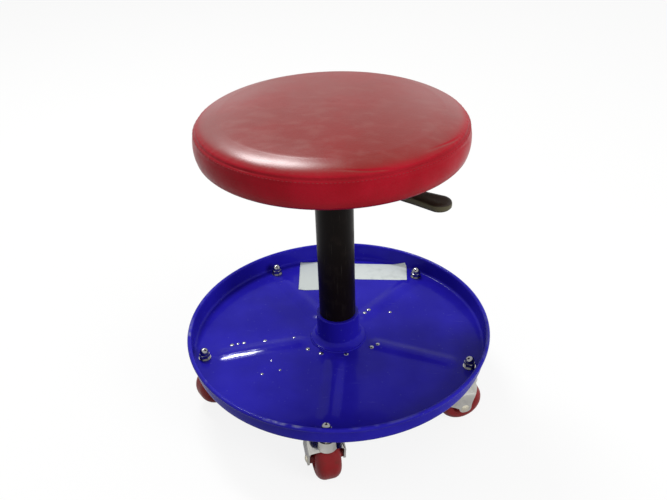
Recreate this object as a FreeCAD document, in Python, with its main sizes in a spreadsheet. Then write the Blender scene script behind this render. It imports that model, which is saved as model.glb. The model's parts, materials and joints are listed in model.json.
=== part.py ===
import FreeCAD, Part
import math
import os
import Sketcher

# Rolling creeper seat: padded round seat on a gas lift, standing in a pressed steel
# tool tray that rolls on five hooded casters.
# Millimetres and degrees, +Z up. The origin is on the floor, under the column's axis.

# Every driving size: its name in the sheet, its value, and what it is.
SIZES = [
    ("run_gap", 0.06, "radial clearance of a shaft or pin in its hole"),
    ("part_gap", 0.3, "clearance between pieces that move past each other"),
    ("cut_over", 2.0, "how far a cut runs past the faces it opens"),
    ("hex_angle", 60.0, "between neighbouring corners of a hexagon"),

    ("stud_count", 5, "casters, studs and tray ribs"),
    ("stud_inset", 15.0, "studs in from the tray's wall"),
    ("first_stud_angle", 342.0, "first stud, counter-clockwise from +X"),
    ("caster_height", 79.1, "floor to the tray's underside"),
    ("trail", 13.0, "wheel centre behind the swivel axis"),
    ("caster_1_angle", 199.6, "direction in which caster 1 trails at rest"),
    ("caster_2_angle", 236.0, "direction in which caster 2 trails at rest"),
    ("caster_3_angle", 318.0, "direction in which caster 3 trails at rest"),
    ("caster_4_angle", 40.0, "direction in which caster 4 trails at rest"),
    ("caster_5_angle", 109.0, "direction in which caster 5 trails at rest"),

    ("wheel_radius", 30.0, "wheel, 60 mm across"),
    ("wheel_width", 33.0, "wheel over its side faces"),
    ("tread_flat", 9.0, "width of the tread's level middle"),
    ("wheel_rim_inner", 14.5, "radius at which the side recess starts"),
    ("wheel_recess", 4.0, "depth of the side recess"),
    ("wheel_hub_radius", 6.5, "hub around the axle"),
    ("axle_radius", 3.0, "axle, 6 mm across"),
    ("axle_head_radius", 5.5, "domed rivet head of the axle"),
    ("axle_head_height", 2.0, "height of the rivet head"),

    ("hood_gap", 2.0, "wheel tread to the hood's inside"),
    ("hood_wall", 2.4, "hood's thickness"),
    ("hood_side_gap", 5.6, "wheel's side to the hood's cheek"),
    ("hood_shoulder", 16.0, "rounding between the hood's crown and cheeks"),
    ("nose_rise", 29.0, "front lip of the hood above the axle"),
    ("leg_drop", 7.0, "hood's cheek below the axle"),
    ("leg_front", 9.0, "cheek's foot ahead of the axle"),
    ("leg_rear", 8.0, "cheek's foot behind the axle"),
    ("leg_round", 7.0, "rounding of the cheek's foot"),
    ("nose_back", 21.0, "front edge of the cheeks under the lip"),
    ("edge_round", 45.0, "sweep of the hood's front and rear edges"),
    ("rear_back", 29.0, "rear lip of the hood behind the axle"),
    ("rear_rise", 10.0, "rear lip of the hood above the axle"),
    ("boss_radius", 11.5, "hood's swivel boss"),
    ("boss_flare", 4.0, "flare at the boss's foot"),
    ("pin_radius", 5.0, "swivel pin of the stem"),
    ("pin_head_radius", 6.0, "riveted head under the boss"),
    ("pin_head_height", 2.0, "thickness of that head"),
    ("head_gap", 0.5, "pin's head to the wheel's tread"),
    ("collar_thickness", 5.0, "hexagonal collar under the tray"),
    ("collar_flats", 19.0, "collar across its flats"),
    ("thread_radius", 4.0, "stem's threaded end, 8 mm across"),

    ("washer_radius", 8.5, "washer on the tray"),
    ("washer_thickness", 1.6, "its thickness"),
    ("nut_flats", 13.0, "acorn nut across its flats"),
    ("nut_hex_height", 6.5, "height of the nut's hexagon"),
    ("nut_dome_radius", 6.2, "nut's dome"),
    ("nut_height", 15.0, "whole nut"),
    ("nut_chamfer", 0.9, "chamfer on the hexagon's corners"),

    ("tray_sheet", 1.2, "tray's steel"),
    ("tray_wall_radius", 205.2, "inside of the tray's wall"),
    ("tray_corner", 5.0, "outer rounding between floor and wall"),
    ("tray_depth", 26.4, "floor to the top of the rolled rim"),
    ("curl_radius", 3.0, "outside of the rolled rim"),
    ("rib_height", 3.4, "pressed rib above the floor"),
    ("rib_width", 22.0, "rib at floor level"),
    ("rib_start_gap", 8.0, "rib's inner end to the hub's foot"),
    ("rib_end_gap", 18.2, "rib's outer end to the studs"),
    ("hole_gap", 0.3, "radial clearance of a stud or screw hole"),

    ("hub_radius", 29.5, "hub socket above the tray"),
    ("hub_wall_top", 123.3, "top of the hub socket"),
    ("hub_drop", 15.0, "hub socket below the tray's underside"),
    ("hub_foot_radius", 38.0, "hub's foot on the tray"),
    ("hub_foot_height", 2.2, "edge of the foot"),
    ("hub_weld", 6.5, "height of the fillet over the foot"),
    ("hub_chamfer", 1.0, "chamfer on the hub's lip"),

    ("column_radius", 25.0, "column tube, 50 mm across"),
    ("column_wall", 1.5, "its wall"),
    ("column_top", 303.9, "top of the column tube"),
    ("column_drop", 27.2, "foot of the tube below the tray's underside"),
    ("taper_angle", 1.43, "half angle of both tapers"),
    ("column_base", 3.0, "thickness of the tube's turned-in foot"),
    ("column_base_hole", 8.0, "hole in the foot"),

    ("race_thickness", 1.5, "thrust bearing's races"),
    ("race_radius", 14.5, "their outer radius"),
    ("ball_radius", 2.35, "thrust balls"),
    ("ball_gap", 0.05, "play of a ball between the races"),
    ("ball_count", 8, "balls in the cage"),
    ("ball_circle_radius", 10.2, "balls from the axis"),
    ("cage_thickness", 2.0, "ball cage"),
    ("cage_inner", 6.4, "cage's bore radius"),
    ("cage_outer", 13.8, "cage's outer radius"),

    ("rod_radius", 5.0, "piston rod, 10 mm across"),
    ("neck_radius", 4.0, "rod's neck through the bearing"),
    ("rod_tail", 5.0, "rod's end below the tube's foot"),
    ("clip_washer_radius", 12.0, "washer under the foot"),
    ("clip_washer_thickness", 1.5, "its thickness"),
    ("clip_groove_depth", 0.8, "groove for the clip"),
    ("clip_thickness", 1.2, "retaining clip"),
    ("clip_radius", 7.0, "clip's outer radius"),
    ("clip_opening_angle", 60.0, "opening angle of the clip"),
    ("buffer_height", 10.0, "rubber buffer on the bearing"),
    ("buffer_radius", 12.0, "its radius"),

    ("cylinder_radius", 14.0, "pressure cylinder, 28 mm across"),
    ("cylinder_wall", 2.2, "its wall"),
    ("cylinder_lip", 1.5, "rolled-in ends"),
    ("cylinder_taper_length", 34.0, "cone that sits in the taper bush"),
    ("cylinder_proud", 1.5, "cylinder's end above the taper bush"),
    ("rod_guide_height", 20.0, "rod guide and seal"),
    ("inner_tube_radius", 10.6, "inner tube"),
    ("inner_tube_wall", 1.0, "its wall"),
    ("piston_height", 12.0, "piston"),
    ("piston_gap", 0.2, "piston to the inner tube"),
    ("piston_top_gap", 10.0, "piston to the valve body at rest"),
    ("ring_section", 1.2, "half thickness of the piston ring"),
    ("valve_height", 28.0, "valve body"),
    ("stroke", 120.0, "travel of the seat"),

    ("guide_length", 85.0, "guide bush inside the column"),
    ("guide_gap", 0.08, "radial clearance round the cylinder"),
    ("guide_collar", 3.0, "guide bush's collar on the tube's top"),

    ("button_radius", 4.0, "release pin's head"),
    ("button_stem_radius", 2.0, "release pin's stem"),
    ("button_rise", 3.9, "pin's head above the cylinder's end"),
    ("button_dome", 0.9, "dome on the pin"),
    ("button_travel", 3.14, "travel of the release pin"),
    ("button_length", 10.0, "length of the pin's head"),
    ("button_stem_length", 17.0, "length of the pin's stem"),

    ("seat_bottom", 372.4, "underside of the seat's cover"),
    ("seat_radius", 164.6, "cushion"),
    ("seat_side", 47.9, "cushion's underside to its top edge"),
    ("seat_crown", 8.0, "rise of the top in the middle"),
    ("seat_edge_round", 14.5, "rounding of the top edge"),
    ("seam_drop", 7.0, "seam below the top edge"),
    ("seam_inset", 3.0, "seam drawn in from the side"),
    ("side_bulge", 1.6, "swell of the side band"),
    ("foot_round", 8.0, "rounding of the bottom edge"),
    ("foot_inset", 1.5, "side band drawn in at its foot"),
    ("vinyl", 1.2, "cover's thickness"),
    ("board_inset", 12.6, "plywood board in from the cushion's side"),
    ("wrap_width", 22.0, "cover turned in under the board"),
    ("board_thickness", 12.0, "its thickness"),

    ("lever_angle", 330.0, "direction of the release lever"),
    ("plate_half", 75.0, "half the seat plate's side"),
    ("plate_corner", 18.0, "its corner radius"),
    ("plate_sheet", 2.0, "its steel"),
    ("plate_lip", 4.5, "turned-down edge, with the sheet"),
    ("pan_depth", 23.5, "pan below the board, with the sheet"),
    ("pan_top_radius", 52.0, "pan where it leaves the plate"),
    ("pan_floor_radius", 46.0, "pan at its floor"),
    ("screw_count", 4, "screws that hold the plate to the board"),
    ("screw_spacing", 58.0, "screws from the plate's middle, each way"),
    ("screw_radius", 3.0, "seat screws, 6 mm across"),
    ("screw_head_radius", 5.6, "their heads"),
    ("screw_head_height", 3.6, "height of the heads"),
    ("screw_length", 11.0, "shank above the plate's underside"),
    ("screw_socket", 2.0, "depth of the drive recess"),
    ("tee_barrel_radius", 4.0, "tee nut's barrel"),
    ("tee_flange_radius", 9.0, "tee nut's flange"),
    ("tee_flange", 1.3, "its thickness"),
    ("tee_length", 9.5, "whole tee nut"),
    ("bush_radius", 19.0, "taper bush"),
    ("bush_length", 43.5, "its length"),
    ("bush_stand", 1.5, "bush above the pan's floor"),
    ("bush_chamfer", 1.2, "chamfer on its lower lip"),

    ("pivot_radius", 2.5, "pivot pin"),
    ("pivot_head_radius", 4.0, "pivot pin's head"),
    ("pivot_head", 1.4, "its thickness"),
    ("ear_sheet", 2.0, "bracket's steel"),
    ("ear_gap", 6.0, "half the gap between the ears"),
    ("ear_bush_gap", 3.0, "bracket to the taper bush"),
    ("ear_pan_gap", 6.0, "bracket to the pan's inner wall at its floor"),
    ("ear_level", 6.0, "level top of the ears between their roundings"),
    ("lever_radius", 4.5, "lever rod"),
    ("lever_gap", 0.4, "rod's nose to the release pin at rest"),
    ("lever_nose", 6.0, "rod past the axis"),
    ("lever_eye_radius", 7.0, "eye on the rod"),
    ("lever_eye_width", 11.0, "width of the eye"),
    ("lever_bend_start", 40.0, "where the rod starts to fall"),
    ("lever_bend_end", 87.0, "where the rod is level again"),
    ("lever_fall", 26.6, "fall between the bends"),
    ("lever_bend_radius", 16.0, "radius of both bends"),
    ("slot_half", 7.0, "half the width of the pan's slot"),
    ("grip_start", 92.0, "root of the grip"),
    ("grip_tip", 163.0, "tip of the grip"),
    ("grip_root_half", 9.0, "half width at the root"),
    ("grip_half", 14.0, "half width at the tip"),
    ("grip_thickness", 13.0, "grip at its root"),
    ("grip_edge", 7.0, "thickness of the blade"),
    ("grip_bore_depth", 28.0, "rod inside the grip"),
]


class Size:
    """A number together with the expression that gives it in the document."""

    def __init__(self, number, text):
        self.number = float(number)
        self.text = text

    def __add__(self, other):
        other = sized(other)
        return Size(self.number + other.number, f"({self.text} + {other.text})")

    def __radd__(self, other):
        return sized(other) + self

    def __sub__(self, other):
        other = sized(other)
        return Size(self.number - other.number, f"({self.text} - {other.text})")

    def __rsub__(self, other):
        return sized(other) - self

    def __mul__(self, other):
        other = sized(other)
        return Size(self.number * other.number, f"({self.text} * {other.text})")

    __rmul__ = __mul__

    def __truediv__(self, other):
        other = sized(other)
        return Size(self.number / other.number, f"({self.text} / {other.text})")

    def __rtruediv__(self, other):
        return sized(other) / self

    def __neg__(self):
        return Size(-self.number, f"(0 - {self.text})")


def sized(value):
    return value if isinstance(value, Size) else Size(value, repr(value))


def cosine(angle):
    return Size(math.cos(math.radians(angle.number)), f"cos({angle.text})")


def sine(angle):
    return Size(math.sin(math.radians(angle.number)), f"sin({angle.text})")


def slope(angle):
    return Size(math.tan(math.radians(angle.number)), f"tan({angle.text})")


def root(value):
    return Size(math.sqrt(value.number), f"sqrt({value.text})")


class Sheet:
    """The spreadsheet of driving sizes; each size is an attribute of this object."""

    def __init__(self, document, table):
        self.cells = document.addObject("Spreadsheet::Sheet", "Sizes")
        for row, (alias, value, meaning) in enumerate(table, 1):
            self.cells.set(f"A{row}", alias)
            self.cells.set(f"B{row}", str(value))
            self.cells.set(f"C{row}", meaning)
            self.cells.setAlias(f"B{row}", alias)
            setattr(self, alias, Size(value, f"Sizes.{alias}"))


doc = FreeCAD.newDocument("creeper_seat")
s = Sheet(doc, SIZES)
doc.recompute()
pieces = []


# Helpers: bodies, sketches and features, all bound to the sheet.

def keep(piece, label):
    """Name a finished piece and list it for export."""
    piece.Label = label
    pieces.append(piece)
    return piece


def place(piece, x=0, y=0, z=0, turn=0):
    """Bind a piece's place and its turn about the upright axis."""
    x, y, z, turn = (sized(value) for value in (x, y, z, turn))
    base = f"vector({x.text}; {y.text}; {z.text})"
    piece.setExpression("Placement", f"placement({base}; rotation(vector(0; 0; 1); {turn.text}))")
    return piece


def new_body(name):
    return doc.addObject("PartDesign::Body", name)


def new_sketch(body, plane, lift=0, across=0, up=0):
    """A sketch on one of the body's own planes, moved along its normal and in its plane."""
    sketch = body.newObject("Sketcher::SketchObject", "Sketch")
    own = next(item for item in body.Origin.OriginFeatures if item.Role == plane)
    sketch.AttachmentSupport = [(own, "")]
    sketch.MapMode = "FlatFace"
    for axis, value in (("x", across), ("y", up), ("z", lift)):
        if isinstance(value, Size):
            sketch.setExpression(f"AttachmentOffset.Base.{axis}", value.text)
    return sketch


def pin_point(sketch, index, end, x, y):
    """Constrain one end of a geometry to a place given in named sizes."""
    for value, kind, axis in ((x, "DistanceX", -2), (y, "DistanceY", -1)):
        if isinstance(value, Size):
            number = sketch.addConstraint(Sketcher.Constraint(kind, index, end, value.number))
            sketch.setExpression(f"Constraints[{number}]", value.text)
        else:
            sketch.addConstraint(Sketcher.Constraint("PointOnObject", index, end, axis))


def add_run(sketch, here, there):
    """Add the line or arc from one corner to the next; return its two ends in that order."""
    start, end = (FreeCAD.Vector(*(sized(value).number for value in c[:2])) for c in (here, there))
    if len(there) == 2:
        sketch.addGeometry(Part.LineSegment(start, end))
        return 1, 2
    radius, side = there[2].number, there[3]
    chord = end - start
    height = math.sqrt(max(radius * radius - chord.Length * chord.Length / 4, 0.0))
    left = FreeCAD.Vector(-chord.y, chord.x).normalize()
    centre = (start + end) / 2 + left * (height * side)
    low, high = (start, end) if side > 0 else (end, start)
    angles = [math.atan2(point.y - centre.y, point.x - centre.x) for point in (low, high)]
    if angles[1] < angles[0]:
        angles[1] += 2 * math.pi
    circle = Part.Circle(centre, FreeCAD.Vector(0, 0, 1), radius)
    sketch.addGeometry(Part.ArcOfCircle(circle, *angles))
    return (1, 2) if side > 0 else (2, 1)


def draw(sketch, corners, closed=True):
    """Draw a line through corners. A corner is (x, y); (x, y, radius, side) is reached by an
    arc whose centre lies on that side, 1 for left and -1 for right of the way along."""
    first = sketch.GeometryCount
    onward = corners[1:] + (corners[:1] if closed else [])
    ends = [add_run(sketch, here, there) for here, there in zip(corners, onward)]
    for index, (end, there) in enumerate(zip(ends, onward)):
        after = (index + 1) % len(ends)
        if closed or after:
            sketch.addConstraint(
                Sketcher.Constraint(
                    "Coincident", first + index, end[1], first + after, ends[after][0]
                )
            )
        pin_point(sketch, first + index, end[1], there[0], there[1])
        if len(there) == 4:
            number = sketch.addConstraint(
                Sketcher.Constraint("Radius", first + index, there[2].number)
            )
            sketch.setExpression(f"Constraints[{number}]", there[2].text)
    if not closed:
        pin_point(sketch, first, ends[0][0], corners[0][0], corners[0][1])


def ring(sketch, x, y, radius):
    """Draw a circle."""
    centre = FreeCAD.Vector(sized(x).number, sized(y).number)
    index = sketch.addGeometry(Part.Circle(centre, FreeCAD.Vector(0, 0, 1), radius.number))
    pin_point(sketch, index, 3, x, y)
    number = sketch.addConstraint(Sketcher.Constraint("Radius", index, radius.number))
    sketch.setExpression(f"Constraints[{number}]", radius.text)


def spin(body, sketch, axis="V_Axis", kind="Revolution"):
    """Revolve a sketch about one of its own axes, adding or cutting."""
    feature = body.newObject(f"PartDesign::{kind}", kind)
    feature.Profile = sketch
    feature.ReferenceAxis = (sketch, [axis])
    feature.Angle = 360
    return feature


def extrude(body, sketch, length=None, kind="Pad", both=False, back=False):
    """Pad or pocket a sketch; a pocket with no length goes right through."""
    feature = body.newObject(f"PartDesign::{kind}", kind)
    feature.Profile = sketch
    feature.SideType = "Symmetric" if both else "One side"
    feature.Reversed = back
    if length is None:
        feature.Type = "ThroughAll"
    else:
        feature.setExpression("Length", length.text)
    return feature


def around(body, feature, count):
    """Repeat a feature round the body's upright axis."""
    pattern = body.newObject("PartDesign::PolarPattern", "PolarPattern")
    pattern.Originals = [feature]
    upright = next(item for item in body.Origin.OriginFeatures if item.Role == "Z_Axis")
    pattern.Axis = (upright, [""])
    pattern.Angle = 360
    pattern.setExpression("Occurrences", count.text)
    body.Tip = pattern
    return pattern


def turned(label, outline, name=None):
    """A turned piece: an outline of (radius, height) spun about the upright axis."""
    body = new_body(name or label)
    sketch = new_sketch(body, "XZ_Plane")
    draw(sketch, outline)
    spin(body, sketch)
    return keep(body, label) if label else body


def tube(inner, outer, low, high):
    """The outline of a plain ring."""
    return [(inner, low), (outer, low), (outer, high), (inner, high)]


def hex_corner(flats):
    """Radius of a hexagon's corners from its size across flats."""
    return flats / (2 * cosine(s.hex_angle / 2))


def hexagon(flats):
    """The corners of a hexagon that is that far across its flats."""
    reach = hex_corner(flats)
    corners = []
    for step in range(6):
        angle = step * s.hex_angle
        x, y = reach * cosine(angle), reach * sine(angle)
        corners.append((x if step % 3 else (reach if step == 0 else -reach), y if step % 3 else 0))
    return corners


def hex_cut(body, flats, low, high, reach):
    """Trim a round stretch of a body to a hexagon between two heights."""
    sketch = new_sketch(body, "XY_Plane", lift=low)
    ring(sketch, 0, 0, reach)
    draw(sketch, hexagon(flats))
    extrude(body, sketch, high - low, kind="Pocket", back=True)


def group(label, members):
    """Separate solids of one kind, kept as one piece."""
    compound = doc.addObject("Part::Compound", label)
    compound.Links = members
    return keep(compound, label)


# Radii that follow from larger ones.
stud_circle = s.tray_wall_radius - s.stud_inset
rib_start = s.hub_foot_radius + s.rib_start_gap
rib_end = stud_circle - s.rib_end_gap
board_radius = s.seat_radius - s.board_inset
wrap_radius = board_radius - s.wrap_width
ear_inner = s.bush_radius + s.ear_bush_gap
ear_outer = s.pan_floor_radius - s.plate_sheet - s.ear_pan_gap
ear_length = ear_outer - ear_inner
ear_round = (ear_length - s.ear_level) / 2
pivot_reach = (ear_inner + ear_outer) / 2

# Heights that several pieces share, from the floor up.
tray_under = s.caster_height
tray_floor = tray_under + s.tray_sheet
rim_centre = tray_floor + s.tray_depth - s.curl_radius
column_foot = tray_under - s.column_drop
taper_top = s.hub_wall_top
race_low = column_foot + s.column_base
ball_low = race_low + s.race_thickness
ball_high = ball_low + 2 * (s.ball_radius + s.ball_gap)
bearing_top = ball_high + s.race_thickness
board_under = s.seat_bottom + s.vinyl
board_top = board_under + s.board_thickness
plate_under = board_under - s.plate_sheet
pan_under = board_under - s.pan_depth
pan_floor = pan_under + s.plate_sheet
bush_top = pan_floor + s.bush_stand
cylinder_top = bush_top + s.cylinder_proud
cylinder_foot = bearing_top + s.buffer_height + s.part_gap
button_top = cylinder_top + s.button_rise
lever_height = button_top + s.lever_gap + s.lever_radius


def stud_angle(number):
    return s.first_stud_angle + (number - 1) * (360 / s.stud_count)


def stud_place(number):
    angle = stud_angle(number)
    return stud_circle * cosine(angle), stud_circle * sine(angle)


def make_tray():
    """Pressed tray: a spun sheet with a rolled rim, five pressed ribs, hub and stud holes."""
    body = new_body("tray")
    hole = s.hub_radius + s.hole_gap
    inner, outer = s.tray_wall_radius, s.tray_wall_radius + s.tray_sheet
    corner_in = s.tray_corner - s.tray_sheet
    curl, curl_in = s.curl_radius, s.curl_radius - s.tray_sheet
    middle = inner + curl
    profile = [
        (hole, tray_under),
        (outer - s.tray_corner, tray_under),
        (outer, tray_under + s.tray_corner, s.tray_corner, 1),
        (outer, rim_centre),
        (middle, rim_centre + curl_in, curl_in, -1),
        (middle + curl_in, rim_centre, curl_in, -1),
        (middle, rim_centre - curl_in, curl_in, -1),
        (middle, rim_centre - curl),
        (middle + curl, rim_centre, curl, 1),
        (middle, rim_centre + curl, curl, 1),
        (inner, rim_centre, curl, 1),
        (inner, tray_floor + corner_in),
        (inner - corner_in, tray_floor, corner_in, -1),
        (hole, tray_floor),
    ]
    sheet = new_sketch(body, "XZ_Plane")
    draw(sheet, profile)
    spin(body, sheet)

    # A rib is the top of a long capsule that lies radially, its axis below the floor.
    half = s.rib_width / 2
    capsule = (half * half + s.rib_height * s.rib_height) / (2 * s.rib_height)
    axis_height = tray_floor + s.rib_height - capsule
    low, high = rib_start + half, rib_end - half

    def rib(radius, kind):
        lying = new_sketch(body, "XZ_Plane", up=axis_height)
        draw(lying, [
            (low - radius, 0),
            (low, radius, radius, -1),
            (high, radius),
            (high + radius, 0, radius, -1),
        ])
        around(body, spin(body, lying, axis="H_Axis", kind=kind), s.stud_count)

    rib(capsule, "Revolution")
    below = new_sketch(body, "XZ_Plane")
    deep = axis_height - capsule - s.cut_over
    draw(below, tube(s.cut_over, high + capsule + s.cut_over, deep, tray_under))
    spin(body, below, kind="Groove")
    rib(capsule - s.tray_sheet, "Groove")

    stud = new_sketch(body, "XY_Plane", lift=tray_floor + s.cut_over)
    ring(stud, stud_circle, 0, s.thread_radius + s.hole_gap)
    drilled = extrude(body, stud, s.tray_sheet + 2 * s.cut_over, kind="Pocket")
    around(body, drilled, s.stud_count)
    place(body, turn=s.first_stud_angle)
    keep(body, "tray")


def column_outside(height):
    """Radius of the tapered column at a height inside its taper."""
    return s.column_radius - (taper_top - height) * slope(s.taper_angle)


def make_base():
    """Hub socket, column tube, guide bush and the parts of the thrust bearing that stay put."""
    hub_foot = tray_under - s.hub_drop
    bore_low = column_outside(hub_foot) + s.run_gap
    bore_high = s.column_radius + s.run_gap
    weld_top = tray_floor + s.hub_foot_height + s.hub_weld
    weld_out = s.hub_foot_radius - s.hub_radius
    turned("hub_socket", [
        (bore_low, hub_foot),
        (s.hub_radius, hub_foot),
        (s.hub_radius, tray_floor),
        (s.hub_foot_radius, tray_floor),
        (s.hub_foot_radius, tray_floor + s.hub_foot_height),
        (s.hub_radius, weld_top, s.hub_weld + weld_out, -1),
        (s.hub_radius, taper_top - s.hub_chamfer),
        (s.hub_radius - s.hub_chamfer, taper_top),
        (bore_high, taper_top),
    ])
    foot_radius = column_outside(column_foot)
    floor_inside = column_outside(race_low) - s.column_wall
    turned("column_tube", [
        (s.column_base_hole, column_foot),
        (foot_radius - s.column_wall, column_foot),
        (column_outside(column_foot + s.column_wall), column_foot + s.column_wall, s.column_wall, 1),
        (s.column_radius, taper_top),
        (s.column_radius, s.column_top),
        (s.column_radius - s.column_wall, s.column_top),
        (s.column_radius - s.column_wall, taper_top),
        (floor_inside, race_low),
        (s.column_base_hole, race_low),
    ])
    bore = s.cylinder_radius + s.guide_gap
    liner = s.column_radius - s.column_wall - s.run_gap
    turned("guide_bush", [
        (bore, s.column_top - s.guide_length),
        (liner, s.column_top - s.guide_length),
        (liner, s.column_top),
        (s.column_radius, s.column_top),
        (s.column_radius, s.column_top + s.guide_collar / 2),
        (s.column_radius - s.guide_collar / 2, s.column_top + s.guide_collar, s.guide_collar / 2, 1),
        (bore + s.guide_collar / 3, s.column_top + s.guide_collar),
        (bore, s.column_top + s.guide_collar * 2 / 3),
    ])
    turned("bearing_race_lower", tube(s.neck_radius + s.part_gap, s.race_radius, race_low, ball_low))


def make_bearing_cage():
    """Ball cage with its balls, midway between the races."""
    middle = (ball_low + ball_high) / 2
    cage = new_body("bearing_cage")
    flat = new_sketch(cage, "XY_Plane", lift=middle - s.cage_thickness / 2)
    ring(flat, 0, 0, s.cage_outer)
    ring(flat, 0, 0, s.cage_inner)
    extrude(cage, flat, s.cage_thickness)
    pocket = new_sketch(cage, "XY_Plane", lift=middle + s.cage_thickness)
    ring(pocket, s.ball_circle_radius, 0, s.ball_radius + s.ball_gap)
    around(cage, extrude(cage, pocket, kind="Pocket"), s.ball_count)
    keep(cage, "bearing_cage")
    balls = []
    for number in range(int(s.ball_count.number)):
        ball = doc.addObject("Part::Sphere", "ball")
        ball.setExpression("Radius", s.ball_radius.text)
        angle = number * (360 / s.ball_count)
        place(ball, s.ball_circle_radius * cosine(angle), s.ball_circle_radius * sine(angle), middle)
        balls.append(ball)
    group("bearing_balls", balls)


def make_rod():
    """Piston rod with what turns on the thrust bearing."""
    turned("bearing_race_upper", tube(s.neck_radius + s.run_gap, s.race_radius, ball_high, bearing_top))
    washer_top = column_foot - s.part_gap
    clip_top = washer_top - s.clip_washer_thickness
    clip_low = clip_top - s.clip_thickness
    tail = column_foot - s.rod_tail
    groove = s.neck_radius - s.clip_groove_depth
    valve_low = cylinder_top - s.cylinder_lip - s.valve_height
    piston_top = valve_low - s.piston_top_gap
    piston_low = piston_top - s.piston_height
    spigot = s.rod_radius / 2
    turned("piston_rod", [
        (0, tail),
        (s.neck_radius - s.clip_groove_depth, tail),
        (s.neck_radius, tail + s.clip_groove_depth),
        (s.neck_radius, clip_low),
        (groove, clip_low),
        (groove, clip_top),
        (s.neck_radius, clip_top),
        (s.neck_radius, bearing_top),
        (s.rod_radius, bearing_top),
        (s.rod_radius, piston_low),
        (spigot, piston_low),
        (spigot, piston_top + s.piston_height / 4),
        (0, piston_top + s.piston_height / 4),
    ])
    turned("clip_washer", tube(s.neck_radius + s.run_gap, s.clip_washer_radius, clip_top, washer_top))
    clip = turned(None, tube(groove, s.clip_radius, clip_low, clip_top), name="retaining_clip")
    opening = new_sketch(clip, "XY_Plane", lift=clip_top)
    reach = s.clip_radius + s.cut_over
    across = reach * slope(s.clip_opening_angle / 2)
    draw(opening, [(0, 0), (reach, -across), (reach, across)])
    extrude(clip, opening, s.clip_thickness, kind="Pocket")
    keep(clip, "retaining_clip")
    turned("rubber_buffer", [
        (s.rod_radius + s.run_gap, bearing_top),
        (s.buffer_radius, bearing_top),
        (s.buffer_radius - s.buffer_height / 5, bearing_top + s.buffer_height),
        (s.rod_radius + s.run_gap, bearing_top + s.buffer_height),
    ])
    piston_radius = s.inner_tube_radius - s.inner_tube_wall - s.piston_gap
    ring_low = (piston_low + piston_top) / 2 - s.ring_section
    ring_high = ring_low + 2 * s.ring_section
    ring_bed = piston_radius - 2 * s.ring_section
    turned("piston", [
        (spigot + s.run_gap, piston_low),
        (piston_radius, piston_low),
        (piston_radius, ring_low),
        (ring_bed, ring_low),
        (ring_bed, ring_high),
        (piston_radius, ring_high),
        (piston_radius, piston_top),
        (spigot + s.run_gap, piston_top),
    ])
    outside = piston_radius + s.piston_gap - s.run_gap
    turned("piston_ring", tube(ring_bed, outside, ring_low, ring_high))


def make_cylinder():
    """Pressure cylinder with its inner tube, rod guide, valve body and release pin."""
    inside = s.cylinder_radius - s.cylinder_wall
    lip_low = s.rod_radius + s.cylinder_lip
    lip_high = s.button_radius + s.cylinder_lip / 2
    taper_low = cylinder_top - s.cylinder_taper_length
    tip = s.cylinder_radius - s.cylinder_taper_length * slope(s.taper_angle)
    turned("pressure_cylinder", [
        (lip_low, cylinder_foot),
        (s.cylinder_radius - s.cylinder_lip, cylinder_foot),
        (s.cylinder_radius, cylinder_foot + s.cylinder_lip, s.cylinder_lip, 1),
        (s.cylinder_radius, taper_low),
        (tip, cylinder_top),
        (lip_high, cylinder_top),
        (lip_high, cylinder_top - s.cylinder_lip),
        (inside, cylinder_top - s.cylinder_lip),
        (inside, cylinder_foot + s.cylinder_lip),
        (lip_low, cylinder_foot + s.cylinder_lip),
    ])
    guide_low = cylinder_foot + s.cylinder_lip
    guide_high = guide_low + s.rod_guide_height
    snug = inside - s.run_gap
    turned("rod_guide", [
        (s.rod_radius + s.run_gap, guide_low),
        (snug, guide_low),
        (snug, guide_low + s.rod_guide_height / 3),
        (snug - s.cylinder_lip, guide_low + s.rod_guide_height / 2),
        (snug, guide_low + s.rod_guide_height * 2 / 3),
        (snug, guide_high),
        (s.rod_radius + s.run_gap, guide_high),
    ])
    valve_high = cylinder_top - s.cylinder_lip
    valve_low = valve_high - s.valve_height
    turned("inner_tube", tube(
        s.inner_tube_radius - s.inner_tube_wall, s.inner_tube_radius, guide_high, valve_low
    ))
    head_low = button_top - s.button_length
    pocket_floor = head_low - s.button_travel - s.part_gap
    turned("valve_body", [
        (s.button_stem_radius + s.run_gap, valve_low),
        (snug, valve_low),
        (snug, valve_high),
        (s.button_radius + s.run_gap, valve_high),
        (s.button_radius + s.run_gap, pocket_floor),
        (s.button_stem_radius + s.run_gap, pocket_floor),
    ])
    stem_low = head_low - s.button_stem_length
    dome = s.button_dome
    dome_radius = (s.button_radius * s.button_radius + dome * dome) / (2 * dome)
    turned("release_pin", [
        (0, stem_low),
        (s.button_stem_radius, stem_low),
        (s.button_stem_radius, head_low),
        (s.button_radius, head_low),
        (s.button_radius, button_top - dome),
        (0, button_top, dome_radius, 1),
    ])


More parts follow.
